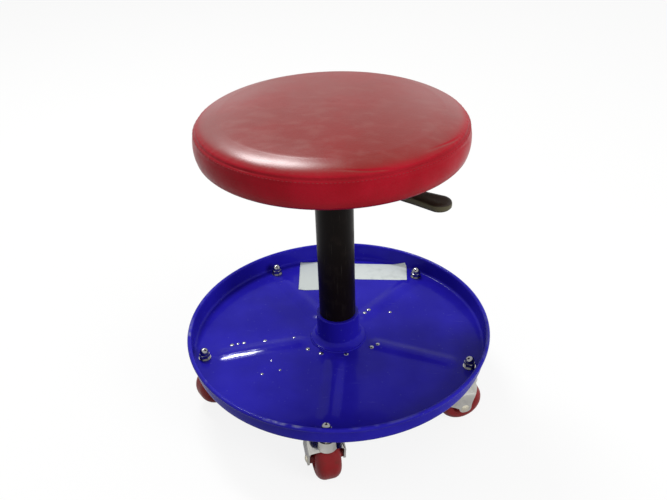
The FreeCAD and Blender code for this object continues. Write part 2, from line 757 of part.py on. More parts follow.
def make_seat_plate():
    """Pressed seat plate with its pan, taper bush, lever bracket and pivot pin."""
    body = new_body("seat_plate")

    def rounded_square(half, corner):
        inset = half - corner
        return [
            (-inset, -half, corner, 1),
            (inset, -half),
            (half, -inset, corner, 1),
            (half, inset),
            (inset, half, corner, 1),
            (-inset, half),
            (-half, inset, corner, 1),
            (-half, -inset),
        ]

    flat = new_sketch(body, "XY_Plane", lift=board_under)
    draw(flat, rounded_square(s.plate_half, s.plate_corner))
    extrude(body, flat, s.plate_lip, back=True)
    hollow = new_sketch(body, "XY_Plane", lift=plate_under)
    draw(hollow, rounded_square(s.plate_half - s.plate_sheet, s.plate_corner - s.plate_sheet))
    extrude(body, hollow, s.plate_lip - s.plate_sheet + s.cut_over, kind="Pocket")
    bush_hole = s.bush_radius + s.run_gap
    dish = new_sketch(body, "XZ_Plane")
    draw(dish, [
        (bush_hole, pan_under),
        (s.pan_floor_radius, pan_under),
        (s.pan_top_radius, plate_under),
        (s.pan_top_radius, board_under),
        (bush_hole, board_under),
    ])
    spin(body, dish)
    inside = new_sketch(body, "XZ_Plane")
    draw(inside, [
        (0, pan_floor),
        (s.pan_floor_radius - s.plate_sheet, pan_floor),
        (s.pan_top_radius - s.plate_sheet, board_under),
        (s.pan_top_radius - s.plate_sheet, board_under + s.cut_over),
        (0, board_under + s.cut_over),
    ])
    spin(body, inside, kind="Groove")
    slot = new_sketch(body, "XZ_Plane")
    draw(slot, [
        (s.pan_floor_radius - s.plate_sheet - s.cut_over, pan_floor + s.cut_over / 2),
        (s.pan_top_radius + s.cut_over, pan_floor + s.cut_over / 2),
        (s.pan_top_radius + s.cut_over, plate_under - s.cut_over / 2),
        (s.pan_floor_radius - s.plate_sheet - s.cut_over, plate_under - s.cut_over / 2),
    ])
    extrude(body, slot, 2 * s.slot_half, kind="Pocket", both=True)
    holes = new_sketch(body, "XY_Plane", lift=board_under)
    ring(holes, s.screw_spacing, s.screw_spacing, s.screw_radius + s.hole_gap)
    drilled = extrude(body, holes, s.plate_sheet + s.cut_over, kind="Pocket")
    around(body, drilled, s.screw_count)
    place(body, turn=s.lever_angle)
    keep(body, "seat_plate")

    bush_low = bush_top - s.bush_length
    mouth = s.cylinder_radius + s.run_gap
    taper_low = cylinder_top - s.cylinder_taper_length
    bore_high = mouth - (s.cylinder_taper_length - s.cylinder_proud) * slope(s.taper_angle)
    turned("taper_bush", [
        (mouth, bush_low),
        (s.bush_radius - s.bush_chamfer, bush_low),
        (s.bush_radius, bush_low + s.bush_chamfer),
        (s.bush_radius, bush_top),
        (bore_high, bush_top),
        (mouth, taper_low),
    ])

    bracket = new_body("lever_bracket")
    wide = s.ear_gap + s.ear_sheet
    ear_top = lever_height + ear_round
    channel = new_sketch(bracket, "YZ_Plane", lift=pivot_reach)
    draw(channel, [
        (-wide, pan_floor),
        (wide, pan_floor),
        (wide, ear_top),
        (s.ear_gap, ear_top),
        (s.ear_gap, pan_floor + s.ear_sheet),
        (-s.ear_gap, pan_floor + s.ear_sheet),
        (-s.ear_gap, ear_top),
        (-wide, ear_top),
    ])
    extrude(bracket, channel, ear_length, both=True)
    crown = new_sketch(bracket, "XZ_Plane")
    reach = ear_length / 2
    over = s.cut_over
    for side in (1, -1):
        inner = pivot_reach + side * (reach - ear_round)
        outer = pivot_reach + side * reach
        beyond = pivot_reach + side * (reach + over)
        draw(crown, [
            (outer, ear_top - ear_round, ear_round, -side),
            (beyond, ear_top - ear_round),
            (beyond, ear_top + over),
            (inner, ear_top + over),
            (inner, ear_top),
        ])
    extrude(bracket, crown, kind="Pocket", both=True)
    eye = new_sketch(bracket, "XZ_Plane")
    ring(eye, pivot_reach, lever_height, s.pivot_radius + s.run_gap)
    extrude(bracket, eye, kind="Pocket", both=True)
    place(bracket, turn=s.lever_angle)
    keep(bracket, "lever_bracket")

    pin = new_body("lever_pivot_pin")
    shank = wide
    length = new_sketch(pin, "XY_Plane", lift=lever_height, across=pivot_reach)
    draw(length, [
        (0, -shank - s.pivot_head),
        (s.pivot_head_radius, -shank - s.pivot_head),
        (s.pivot_head_radius, -shank),
        (s.pivot_radius, -shank),
        (s.pivot_radius, shank),
        (s.pivot_head_radius, shank),
        (s.pivot_head_radius, shank + s.pivot_head),
        (0, shank + s.pivot_head),
    ])
    spin(pin, length)
    place(pin, turn=s.lever_angle)
    keep(pin, "lever_pivot_pin")


def make_lever():
    """Release lever: a bent rod with an eye on its pivot, and a flat moulded grip."""
    rod = new_body("lever_rod")
    fall_run = s.lever_bend_end - s.lever_bend_start
    sloped = root(fall_run * fall_run + s.lever_fall * s.lever_fall)
    # Half of the turn at each bend gives how far the arc reaches along its runs.
    half_turn = (sloped - fall_run) / s.lever_fall
    tangent = s.lever_bend_radius * half_turn
    along, down = fall_run / sloped, s.lever_fall / sloped
    low = lever_height - s.lever_fall
    rod_end = s.grip_start + s.grip_bore_depth
    way = new_sketch(rod, "XZ_Plane")
    draw(way, [
        (-s.lever_nose, lever_height),
        (s.lever_bend_start - tangent, lever_height),
        (
            s.lever_bend_start + tangent * along,
            lever_height - tangent * down,
            s.lever_bend_radius,
            -1,
        ),
        (s.lever_bend_end - tangent * along, low + tangent * down),
        (s.lever_bend_end + tangent, low, s.lever_bend_radius, 1),
        (rod_end, low),
    ], closed=False)
    section = new_sketch(rod, "YZ_Plane", lift=-s.lever_nose)
    ring(section, 0, lever_height, s.lever_radius)
    pipe = rod.newObject("PartDesign::AdditivePipe", "Pipe")
    pipe.Profile = section
    pipe.Spine = (way, [""])
    eye = new_sketch(rod, "XZ_Plane")
    ring(eye, pivot_reach, lever_height, s.lever_eye_radius)
    extrude(rod, eye, s.lever_eye_width, both=True)
    bore = new_sketch(rod, "XZ_Plane")
    ring(bore, pivot_reach, lever_height, s.pivot_radius + s.run_gap)
    extrude(rod, bore, kind="Pocket", both=True)
    place(rod, turn=s.lever_angle)
    keep(rod, "lever_rod")

    # Seen from above the grip widens to a round tip; seen from the side it thins to a blade.
    grip = new_body("lever_grip")
    plan = new_sketch(grip, "XY_Plane", lift=low)
    round_start = s.grip_tip - s.grip_half
    draw(plan, [
        (s.grip_start, -s.grip_root_half),
        (round_start, -s.grip_half),
        (s.grip_tip, 0, s.grip_half, 1),
        (round_start, s.grip_half, s.grip_half, 1),
        (s.grip_start, s.grip_root_half),
    ])
    blank = extrude(grip, plan, s.grip_thickness, both=True)
    thick, thin = s.grip_thickness / 2, s.grip_edge / 2
    blade_start = rod_end + s.lever_radius
    side = new_sketch(grip, "XZ_Plane")
    for way_up in (1, -1):
        draw(side, [
            (s.grip_start + s.grip_half, low + way_up * thick),
            (blade_start, low + way_up * thin),
            (s.grip_tip + s.cut_over, low + way_up * thin),
            (s.grip_tip + s.cut_over, low + way_up * (thick + s.cut_over)),
            (s.grip_start + s.grip_half, low + way_up * (thick + s.cut_over)),
        ])
    extrude(grip, side, kind="Pocket", both=True)
    socket = new_sketch(grip, "YZ_Plane", lift=s.grip_start)
    ring(socket, 0, low, s.lever_radius + s.run_gap)
    extrude(grip, socket, s.grip_bore_depth + s.part_gap, kind="Pocket", back=True)
    place(grip, turn=s.lever_angle)
    keep(grip, "lever_grip")


def make_seat():
    """Plywood board, foam, two-piece vinyl cover, tee nuts and screws."""
    board = turned(None, [
        (0, board_under),
        (board_radius, board_under),
        (board_radius, board_top),
        (0, board_top),
    ], name="seat_board")
    drilled = new_sketch(board, "XY_Plane", lift=board_top)
    ring(drilled, s.screw_spacing, s.screw_spacing, s.tee_barrel_radius + s.run_gap)
    around(board, extrude(board, drilled, kind="Pocket"), s.screw_count)
    sunk = new_sketch(board, "XY_Plane", lift=board_top)
    ring(sunk, s.screw_spacing, s.screw_spacing, s.tee_flange_radius + s.run_gap)
    around(board, extrude(board, sunk, s.tee_flange, kind="Pocket"), s.screw_count)
    place(board, turn=s.lever_angle)
    keep(board, "seat_board")

    def cushion(inset):
        """Corners of the cushion's section, drawn in evenly by that much."""
        top = s.seat_bottom + s.seat_side
        edge = s.seat_edge_round
        foot = s.foot_round
        return {
            "crown": (0, top + s.seat_crown - inset),
            "edge": (s.seat_radius - edge, top - inset),
            "seam": (s.seat_radius - s.seam_inset - inset, top - s.seam_drop),
            "side": (s.seat_radius - inset, top - edge),
            "foot": (s.seat_radius - s.foot_inset - inset, s.seat_bottom + foot),
            "base": (s.seat_radius - s.foot_inset - foot, s.seat_bottom + inset),
        }

    span, rise = s.seat_radius - s.seat_edge_round, s.seat_crown
    crown_round = (span * span + rise * rise) / (2 * rise)
    half, swell = (s.seat_side - s.seat_edge_round - s.foot_round) / 2, s.side_bulge
    side_round = (half * half + swell * swell) / (2 * swell)
    outside, inside = cushion(sized(0)), cushion(s.vinyl)
    edge_out, edge_in = s.seat_edge_round, s.seat_edge_round - s.vinyl
    foot_out, foot_in = s.foot_round, s.foot_round - s.vinyl
    turned("seat_cover_top", [
        inside["crown"],
        (*inside["edge"], crown_round, -1),
        (*inside["seam"], edge_in, -1),
        outside["seam"],
        (*outside["edge"], edge_out, 1),
        (*outside["crown"], crown_round, 1),
    ])
    turned("seat_cover_band", [
        inside["seam"],
        (*inside["side"], edge_in, -1),
        (*inside["foot"], side_round, -1),
        (*inside["base"], foot_in, -1),
        (wrap_radius, board_under),
        (wrap_radius, s.seat_bottom),
        outside["base"],
        (*outside["foot"], foot_out, 1),
        (*outside["side"], side_round, 1),
        (*outside["seam"], edge_out, 1),
    ])
    beside = board_radius + s.run_gap
    turned("seat_foam", [
        (0, board_top),
        (beside, board_top),
        (beside, board_under),
        inside["base"],
        (*inside["foot"], foot_in, 1),
        (*inside["side"], side_round, 1),
        (*inside["seam"], edge_in, 1),
        (*inside["edge"], edge_in, 1),
        (*inside["crown"], crown_round, 1),
    ])

    screws, nuts = [], []
    for number in range(int(s.screw_count.number)):
        angle = s.lever_angle + (number + sized(0.5)) * (360 / s.screw_count)
        reach = s.screw_spacing * root(sized(2))
        x, y = reach * cosine(angle), reach * sine(angle)
        head_low = plate_under - s.screw_head_height
        screw = turned(None, [
            (0, head_low + s.screw_socket),
            (s.screw_radius / 2, head_low + s.screw_socket),
            (s.screw_radius * 2 / 3, head_low),
            (s.screw_head_radius * 2 / 3, head_low),
            (s.screw_head_radius, plate_under - s.screw_head_height / 3, s.screw_head_height, 1),
            (s.screw_head_radius, plate_under),
            (s.screw_radius, plate_under),
            (s.screw_radius, plate_under + s.screw_length),
            (0, plate_under + s.screw_length),
        ], name="screw")
        screws.append(place(screw, x, y))
        nut = turned(None, [
            (s.screw_radius + s.run_gap, board_top - s.tee_length),
            (s.tee_barrel_radius, board_top - s.tee_length),
            (s.tee_barrel_radius, board_top - s.tee_flange),
            (s.tee_flange_radius, board_top - s.tee_flange),
            (s.tee_flange_radius, board_top),
            (s.screw_radius + s.run_gap, board_top),
        ], name="tee_nut")
        nuts.append(place(nut, x, y))
    group("seat_screws", screws)
    group("tee_nuts", nuts)


def make_fasteners():
    """Acorn nuts and washers on the tray."""
    washer_top = tray_floor + s.washer_thickness
    nuts, washers = [], []
    for number in range(1, int(s.stud_count.number) + 1):
        x, y = stud_place(number)
        washer = turned(None, tube(
            s.thread_radius + s.run_gap, s.washer_radius, tray_floor, washer_top
        ), name="washer")
        washers.append(place(washer, x, y))
        corner = hex_corner(s.nut_flats)
        chamfer = s.nut_chamfer
        hex_top = washer_top + s.nut_hex_height
        dome_low = washer_top + s.nut_height - s.nut_dome_radius
        bore = s.thread_radius + s.run_gap
        nut = turned(None, [
            (bore, washer_top),
            (corner - chamfer, washer_top),
            (corner, washer_top + chamfer / 2),
            (corner, hex_top - chamfer / 2),
            (corner - chamfer, hex_top),
            (s.nut_dome_radius, hex_top),
            (s.nut_dome_radius, dome_low),
            (0, washer_top + s.nut_height, s.nut_dome_radius, 1),
            (0, dome_low),
            (bore, dome_low),
        ], name="acorn_nut")
        hex_cut(nut, s.nut_flats, washer_top, hex_top, corner + s.cut_over)
        nuts.append(place(nut, x, y, turn=stud_angle(number)))
    group("stud_washers", washers)
    group("acorn_nuts", nuts)


def make_caster(number):
    """One hooded caster: stem, hood, axle and wheel. The wheel trails along the hood's +X."""
    turn = getattr(s, f"caster_{number}_angle")
    stem_x, stem_y = stud_place(number)
    wheel_x = stem_x + s.trail * cosine(turn)
    wheel_y = stem_y + s.trail * sine(turn)
    cheek_in = s.wheel_width / 2 + s.hood_side_gap
    cheek_out = cheek_in + s.hood_wall
    hood_in = s.wheel_radius + s.hood_gap
    hood_out = hood_in + s.hood_wall
    boss_top = tray_under - s.collar_thickness - s.part_gap - s.wheel_radius
    front_of_head = s.trail - s.pin_head_radius
    tread_there = root(s.wheel_radius * s.wheel_radius - front_of_head * front_of_head)
    head_low = tread_there + s.head_gap
    head_high = head_low + s.pin_head_height

    # Hood: a round drum with rounded shoulders, hollowed, then trimmed to its side outline.
    hood = new_body(f"caster_{number}_hood")
    drum = new_sketch(hood, "XY_Plane")
    shoulder = s.hood_shoulder
    draw(drum, [
        (0, -cheek_out),
        (hood_out - shoulder, -cheek_out),
        (hood_out, shoulder - cheek_out, shoulder, 1),
        (hood_out, cheek_out - shoulder),
        (hood_out - shoulder, cheek_out, shoulder, 1),
        (0, cheek_out),
    ])
    spin(hood, drum)
    boss = new_sketch(hood, "XZ_Plane", across=-s.trail)
    flare_top = boss_top - s.collar_thickness
    flare_low = hood_out / 2
    flare = s.boss_flare
    rise = flare_top - flare_low
    draw(boss, [
        (0, flare_low),
        (s.boss_radius + flare, flare_low),
        (s.boss_radius, flare_top, (rise * rise + flare * flare) / (2 * flare), -1),
        (s.boss_radius, boss_top),
        (0, boss_top),
    ])
    spin(hood, boss)
    hollow = new_sketch(hood, "XY_Plane")
    shoulder_in = s.hood_shoulder - s.hood_wall
    draw(hollow, [
        (0, -cheek_in),
        (hood_in - shoulder_in, -cheek_in),
        (hood_in, shoulder_in - cheek_in, shoulder_in, 1),
        (hood_in, cheek_in - shoulder_in),
        (hood_in - shoulder_in, cheek_in, shoulder_in, 1),
        (0, cheek_in),
    ])
    spin(hood, hollow, kind="Groove")
    trim = new_sketch(hood, "XZ_Plane")
    out = hood_out + s.cut_over
    foot = s.leg_round
    draw(trim, [
        (-out, -out),
        (out, -out),
        (out, s.rear_rise),
        (s.rear_back, s.rear_rise),
        (s.leg_rear, foot - s.leg_drop, s.edge_round, 1),
        (s.leg_rear - foot, -s.leg_drop, foot, -1),
        (foot - s.leg_front, -s.leg_drop),
        (-s.leg_front, foot - s.leg_drop, foot, -1),
        (-s.nose_back, s.nose_rise, s.edge_round, 1),
        (-out, s.nose_rise),
    ])
    extrude(hood, trim, kind="Pocket", both=True)
    pin_hole = new_sketch(hood, "XY_Plane", lift=boss_top)
    ring(pin_hole, -s.trail, 0, s.pin_radius + s.run_gap)
    extrude(hood, pin_hole, boss_top, kind="Pocket")
    head_hole = new_sketch(hood, "XY_Plane", lift=head_high + s.part_gap)
    ring(head_hole, -s.trail, 0, s.pin_head_radius + s.part_gap)
    extrude(hood, head_hole, head_high + s.part_gap, kind="Pocket")
    axle_hole = new_sketch(hood, "XZ_Plane")
    ring(axle_hole, 0, 0, s.axle_radius + s.run_gap)
    extrude(hood, axle_hole, kind="Pocket", both=True)
    place(hood, wheel_x, wheel_y, s.wheel_radius, turn)
    keep(hood, f"caster_{number}_hood")

    wheel = new_body(f"caster_{number}_wheel")
    half = s.wheel_width / 2
    shoulder = half - s.tread_flat / 2
    rolled = new_sketch(wheel, "XY_Plane")
    bore = s.axle_radius + s.run_gap
    bed = half - s.wheel_recess
    hub_face = cheek_in - s.part_gap
    slant = s.wheel_recess / 2
    draw(rolled, [
        (bore, -hub_face),
        (s.wheel_hub_radius, -hub_face),
        (s.wheel_hub_radius + slant / 2, -bed),
        (s.wheel_rim_inner - slant, -bed),
        (s.wheel_rim_inner, -half),
        (s.wheel_radius - shoulder, -half),
        (s.wheel_radius, -s.tread_flat / 2, shoulder, 1),
        (s.wheel_radius, s.tread_flat / 2),
        (s.wheel_radius - shoulder, half, shoulder, 1),
        (s.wheel_rim_inner, half),
        (s.wheel_rim_inner - slant, bed),
        (s.wheel_hub_radius + slant / 2, bed),
        (s.wheel_hub_radius, hub_face),
        (bore, hub_face),
    ])
    spin(wheel, rolled)
    place(wheel, wheel_x, wheel_y, s.wheel_radius, turn)
    keep(wheel, f"caster_{number}_wheel")

    axle = new_body(f"caster_{number}_axle")
    rod = new_sketch(axle, "XY_Plane")
    head = s.axle_head_height
    dome = (s.axle_head_radius * s.axle_head_radius + head * head) / (2 * head)
    draw(rod, [
        (0, -cheek_out - head),
        (s.axle_head_radius, -cheek_out, dome, 1),
        (s.axle_radius, -cheek_out),
        (s.axle_radius, cheek_out),
        (s.axle_head_radius, cheek_out),
        (0, cheek_out + head, dome, 1),
    ])
    spin(axle, rod)
    place(axle, wheel_x, wheel_y, s.wheel_radius, turn)
    keep(axle, f"caster_{number}_axle")

    # Stem: riveted head, swivel pin, hexagonal collar and threaded end.
    corner = hex_corner(s.collar_flats)
    collar_low = tray_under - s.collar_thickness
    thread_top = tray_floor + s.washer_thickness + s.nut_height - s.nut_dome_radius - s.part_gap
    stem = turned(None, [
        (0, s.wheel_radius + head_low),
        (s.pin_head_radius, s.wheel_radius + head_low),
        (s.pin_head_radius, s.wheel_radius + head_high),
        (s.pin_radius, s.wheel_radius + head_high),
        (s.pin_radius, collar_low),
        (corner - s.part_gap, collar_low),
        (corner, collar_low + s.part_gap),
        (corner, tray_under),
        (s.thread_radius, tray_under),
        (s.thread_radius, thread_top),
        (0, thread_top),
    ], name=f"caster_{number}_stem")
    hex_cut(stem, s.collar_flats, collar_low, tray_under, corner + s.cut_over)
    place(stem, stem_x, stem_y, turn=stud_angle(number))
    keep(stem, f"caster_{number}_stem")


make_tray()
make_base()
make_bearing_cage()
make_rod()
make_cylinder()
make_seat_plate()
make_lever()
make_seat()
make_fasteners()
for caster in range(1, int(s.stud_count.number) + 1):
    make_caster(caster)

doc.recompute()

for item in doc.Objects:
    if "Invalid" in item.State or "Error" in item.State:
        raise RuntimeError(f"{item.Label} ({item.Name}) failed: {item.State}")
    if item.TypeId in ("PartDesign::Pocket", "PartDesign::Groove") and not item.Suppressed:
        if item.Shape.Volume >= item.BaseFeature.Shape.Volume:
            raise RuntimeError(f"{item.Name} in {item.getParentGeoFeatureGroup().Label} cuts nothing")
for piece in pieces:
    if piece.Shape.isNull() or not piece.Shape.isValid():
        raise RuntimeError(f"{piece.Label} has no valid shape")

os.makedirs("parts", exist_ok=True)
for piece in pieces:
    piece.Shape.exportStep(f"parts/{piece.Label}.step")
    print(f"{piece.Label}: {len(piece.Shape.Solids)} solids, {piece.Shape.Volume / 1000:.2f} cm3")
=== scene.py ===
import json
import math

import bmesh
import bpy
import numpy as np
from mathutils import Matrix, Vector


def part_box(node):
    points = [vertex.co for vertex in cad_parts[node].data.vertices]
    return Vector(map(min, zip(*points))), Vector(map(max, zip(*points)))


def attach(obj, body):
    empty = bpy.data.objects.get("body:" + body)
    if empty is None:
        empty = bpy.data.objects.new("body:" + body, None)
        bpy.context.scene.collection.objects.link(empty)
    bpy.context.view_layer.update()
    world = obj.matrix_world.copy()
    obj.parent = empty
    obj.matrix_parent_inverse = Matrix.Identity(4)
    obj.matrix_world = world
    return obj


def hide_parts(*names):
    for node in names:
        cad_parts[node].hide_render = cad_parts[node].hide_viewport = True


# Rolling creeper seat: the looks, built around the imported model. Metres, +Z up.

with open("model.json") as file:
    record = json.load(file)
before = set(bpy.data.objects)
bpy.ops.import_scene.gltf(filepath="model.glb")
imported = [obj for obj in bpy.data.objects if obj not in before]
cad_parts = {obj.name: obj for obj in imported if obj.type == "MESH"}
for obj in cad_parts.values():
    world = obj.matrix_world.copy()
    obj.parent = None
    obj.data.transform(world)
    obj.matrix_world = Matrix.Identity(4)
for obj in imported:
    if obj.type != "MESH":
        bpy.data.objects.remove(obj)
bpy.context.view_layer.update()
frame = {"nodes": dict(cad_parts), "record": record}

MM = 0.001
TURN = 2 * math.pi
rng = np.random.default_rng(11)

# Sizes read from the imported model, so that every new piece sits where its solid is.
band_low, band_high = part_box("seat_cover_band")
_, top_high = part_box("seat_cover_top")
tray_low, tray_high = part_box("tray")
_, hub_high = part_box("hub_socket")
washer_low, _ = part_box("stud_washers")
grip_low, grip_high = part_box("lever_grip")
SEAT_RADIUS = band_high.x
SEAT_BOTTOM = band_low.z
SEAT_TOP = top_high.z
TRAY_FLOOR = washer_low.z
TRAY_RIM_TOP = tray_high.z
TRAY_RIM_RADIUS = (tray_high.x - tray_low.x) / 2
SEAM_HEIGHT = SEAT_TOP - 19.0 * MM
STUDS = 5
FIRST_STUD = math.radians(342.0)
LEFT_RIB = FIRST_STUD + 3 * TURN / STUDS


# Meshes from grids of points.

WELD_REACH = 1e-6


def mesh_piece(name, points, faces, material, body, slot):
    """A piece made from points and faces, merged, turned outwards and set to ride on a body."""
    mesh = bpy.data.meshes.new(name)
    mesh.from_pydata(points.reshape(-1, 3).tolist(), [], faces.tolist())
    shell = bmesh.new()
    shell.from_mesh(mesh)
    bmesh.ops.remove_doubles(shell, verts=shell.verts, dist=WELD_REACH)
    bmesh.ops.recalc_face_normals(shell, faces=shell.faces)
    shell.to_mesh(mesh)
    shell.free()
    mesh.shade_smooth()
    mesh.materials.append(material)
    piece = bpy.data.objects.new(name, mesh)
    bpy.context.scene.collection.objects.link(piece)
    if body:
        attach(piece, body)
    return piece


def quads(rows, columns, wrap_rows=False, wrap_columns=False):
    """The four corners of each cell of a grid of points; a wrapped side joins its far one."""
    index = np.arange(rows * columns).reshape(rows, columns)
    if wrap_rows:
        index = np.vstack([index, index[:1]])
    if wrap_columns:
        index = np.hstack([index, index[:, :1]])
    corners = (index[:-1, :-1], index[1:, :-1], index[1:, 1:], index[:-1, 1:])
    return np.stack(corners, axis=-1).reshape(-1, 4)


def repeated(count, rows, columns):
    """The faces of several like grids that wrap round their columns and follow each other."""
    cells = quads(rows, columns, wrap_columns=True)
    return (np.arange(count)[:, None, None] * rows * columns + cells[None]).reshape(-1, 4)


def arc(start, end, radius, side, steps):
    """Points of an arc from start to end, its centre on the left (1) or right (-1) of the way.

    The centre is the chord's middle moved square to it by sqrt(radius^2 - (chord / 2)^2)."""
    start, end = np.array(start, float), np.array(end, float)
    chord = end - start
    length = np.hypot(*chord)
    left = np.array([-chord[1], chord[0]]) / length
    centre = (start + end) / 2 + left * side * math.sqrt(max(radius ** 2 - length ** 2 / 4, 0))
    first, last = (math.atan2(*(p - centre)[::-1]) for p in (start, end))
    if side > 0 and last < first:
        last += TURN
    if side < 0 and last > first:
        last -= TURN
    angle = np.linspace(first, last, steps)
    return centre + radius * np.stack([np.cos(angle), np.sin(angle)], axis=-1)


def line(start, end, steps):
    """Evenly spaced points of a straight run."""
    return np.linspace(start, end, steps)


def chain(*runs):
    """Runs of points joined into one, each end shared with the next start."""
    return np.vstack([runs[0]] + [run[1:] for run in runs[1:]])


def spun(profile, angles):
    """Points (r cos a, r sin a, z) of a profile of (r, z) turned round the upright axis."""
    radius, height = profile[..., 0] + 0 * angles, profile[..., 1] + 0 * angles
    return np.stack([radius * np.cos(angles), radius * np.sin(angles), height], axis=-1)


def grid_normals(points):
    """Unit cross product of the two directions of a grid that closes along its columns."""
    around = np.roll(points, -1, axis=1) - np.roll(points, 1, axis=1)
    along = np.gradient(points, axis=0)
    normal = np.cross(around, along)
    return normal / np.maximum(np.linalg.norm(normal, axis=-1, keepdims=True), 1e-12)


def bump(distance, width):
    """A bell: exp(-(distance / width)^2)."""
    return np.exp(-(distance / width) ** 2)


def waves(angle, low, high, count):
    """A wavy ring: the sum of count sines with whole wave numbers between low and high, over
    the root of the count."""
    numbers = rng.integers(low, high, count)
    phases = rng.uniform(0, TURN, count)
    weights = rng.uniform(0.4, 1.0, count)
    total = sum(w * np.sin(n * angle + p) for n, p, w in zip(numbers, phases, weights))
    return total / math.sqrt(count)


# Shader maths.

class Wire:
    """A shader's output; adding, multiplying and so on adds Math nodes."""

    def __init__(self, graph, socket):
        self.graph = graph
        self.socket = socket

    def math(self, operation, *values):
        return self.graph.add("ShaderNodeMath", dict(enumerate(values)), operation=operation)

    def __add__(self, other):
        return self.math("ADD", self, other)

    def __sub__(self, other):
        return self.math("SUBTRACT", self, other)

    def __rsub__(self, other):
        return self.math("SUBTRACT", other, self)

    def __mul__(self, other):
        return self.math("MULTIPLY", self, other)

    def __pow__(self, other):
        return self.math("POWER", self, other)

    __radd__ = __add__
    __rmul__ = __mul__

    def most(self, other):
        return self.math("MAXIMUM", self, other)

    def band(self, low, high, bottom=0.0, top=1.0):
        """Runs smoothly from bottom to top as this value runs from low to high."""
        limits = {"Value": self, "From Min": low, "From Max": high, "To Min": bottom, "To Max": top}
        return self.graph.add("ShaderNodeMapRange", limits, interpolation_type="SMOOTHSTEP")


class Finish:
    """A material and the nodes that it is written with."""

    def __init__(self, name):
        self.material = bpy.data.materials.new(name)
        self.material.use_nodes = True
        self.tree = self.material.node_tree
        self.tree.nodes.clear()
        self.place = self.add("ShaderNodeTexCoord", out="Object")

    def add(self, kind, inputs=None, out=0, **settings):
        """Any node: its kind, its sockets' values or links, and its settings, set first."""
        node = self.tree.nodes.new(kind)
        for key, value in settings.items():
            setattr(node, key, value)
        for key, value in (inputs or {}).items():
            if isinstance(value, Wire):
                self.tree.links.new(value.socket, node.inputs[key])
            else:
                node.inputs[key].default_value = value
        return Wire(self, node.outputs[out])

    def stretched(self, *scale):
        """Object coordinates, scaled differently along each axis."""
        return self.add("ShaderNodeMapping", {"Vector": self.place, "Scale": scale})

    def noise(self, size, detail, place=None):
        """Soft noise whose features are about that many metres wide."""
        inputs = {"Vector": place or self.place, "Scale": 1 / size, "Detail": detail}
        inputs["Roughness"] = 0.55
        return self.add("ShaderNodeTexNoise", inputs, out="Fac")

    def cells(self, size, feature="F1"):
        """Distance to the nearest of points about that many metres apart."""
        inputs = {"Vector": self.place, "Scale": 1 / size}
        return self.add("ShaderNodeTexVoronoi", inputs, out="Distance", feature=feature)

    def axis(self, name):
        """One object coordinate, in metres."""
        return self.add("ShaderNodeSeparateXYZ", {0: self.place}, out=name)

    def facing_up(self):
        """How far the surface faces up, from -1 to 1, on the object itself."""
        normal = self.add("ShaderNodeTexCoord", out="Normal")
        return self.add("ShaderNodeSeparateXYZ", {0: normal}, out="Z")

    def mix(self, share, low, high):
        """A colour between two."""
        return self.add("ShaderNodeMix", {0: share, 6: low, 7: high}, out=2, data_type="RGBA")

    def relief(self, height, depth, strength):
        """A bumped normal from a height of 0 to 1 that stands for depth metres."""
        inputs = {"Height": height, "Distance": depth, "Strength": strength}
        return self.add("ShaderNodeBump", inputs, out="Normal")

    def surface(self, **sockets):
        """The closing shader; a socket's name is written with _ for a space."""
        named = {key.replace("_", " "): value for key, value in sockets.items()}
        shader = self.add("ShaderNodeBsdfPrincipled", named, out="BSDF")
        output = self.tree.nodes.new("ShaderNodeOutputMaterial")
        self.tree.links.new(shader.socket, output.inputs["Surface"])
        return self.material


def colour(red, green, blue):
    return (red, green, blue, 1.0)


VINYL_DEEP, VINYL_LIGHT = colour(0.275, 0.0030, 0.0100), colour(0.335, 0.0050, 0.0155)
# Painted shade for the top: a darker, browner red than the sides.
VINYL_TOP_SHADE = colour(0.172, 0.0100, 0.0055)
# Rubbed vinyl, paler; on the top it is partly painted sheen.
VINYL_RUBBED_SHEEN = colour(0.25, 0.09, 0.065)
VINYL_SEAM = colour(0.10, 0.003, 0.005)
VINYL_FOOT = colour(0.14, 0.006, 0.008)
ENAMEL_DEEP, ENAMEL_LIGHT = colour(0.011, 0.0070, 0.26), colour(0.016, 0.011, 0.34)
ENAMEL_DUST = colour(0.10, 0.10, 0.36)
# Steel showing through the paint; on the tray it also paints glints.
BARE_STEEL_GLINT = colour(0.52, 0.54, 0.52)
BLACK_SCRATCH = colour(0.075, 0.066, 0.058)
# Painted rim light for the grip's flanks.
LIT_FLANK_TINT = colour(0.078, 0.070, 0.036)
BIRCH_LIGHT, BIRCH_DARK = colour(0.52, 0.36, 0.20), colour(0.42, 0.27, 0.14)
BIRCH_STREAK = colour(0.23, 0.13, 0.06)
# Label film; its greyer tone serves for smudges and for painted shade.
FILM_CLEAN, FILM_SMUDGED_SHADED = colour(0.54, 0.58, 0.56), colour(0.36, 0.395, 0.385)


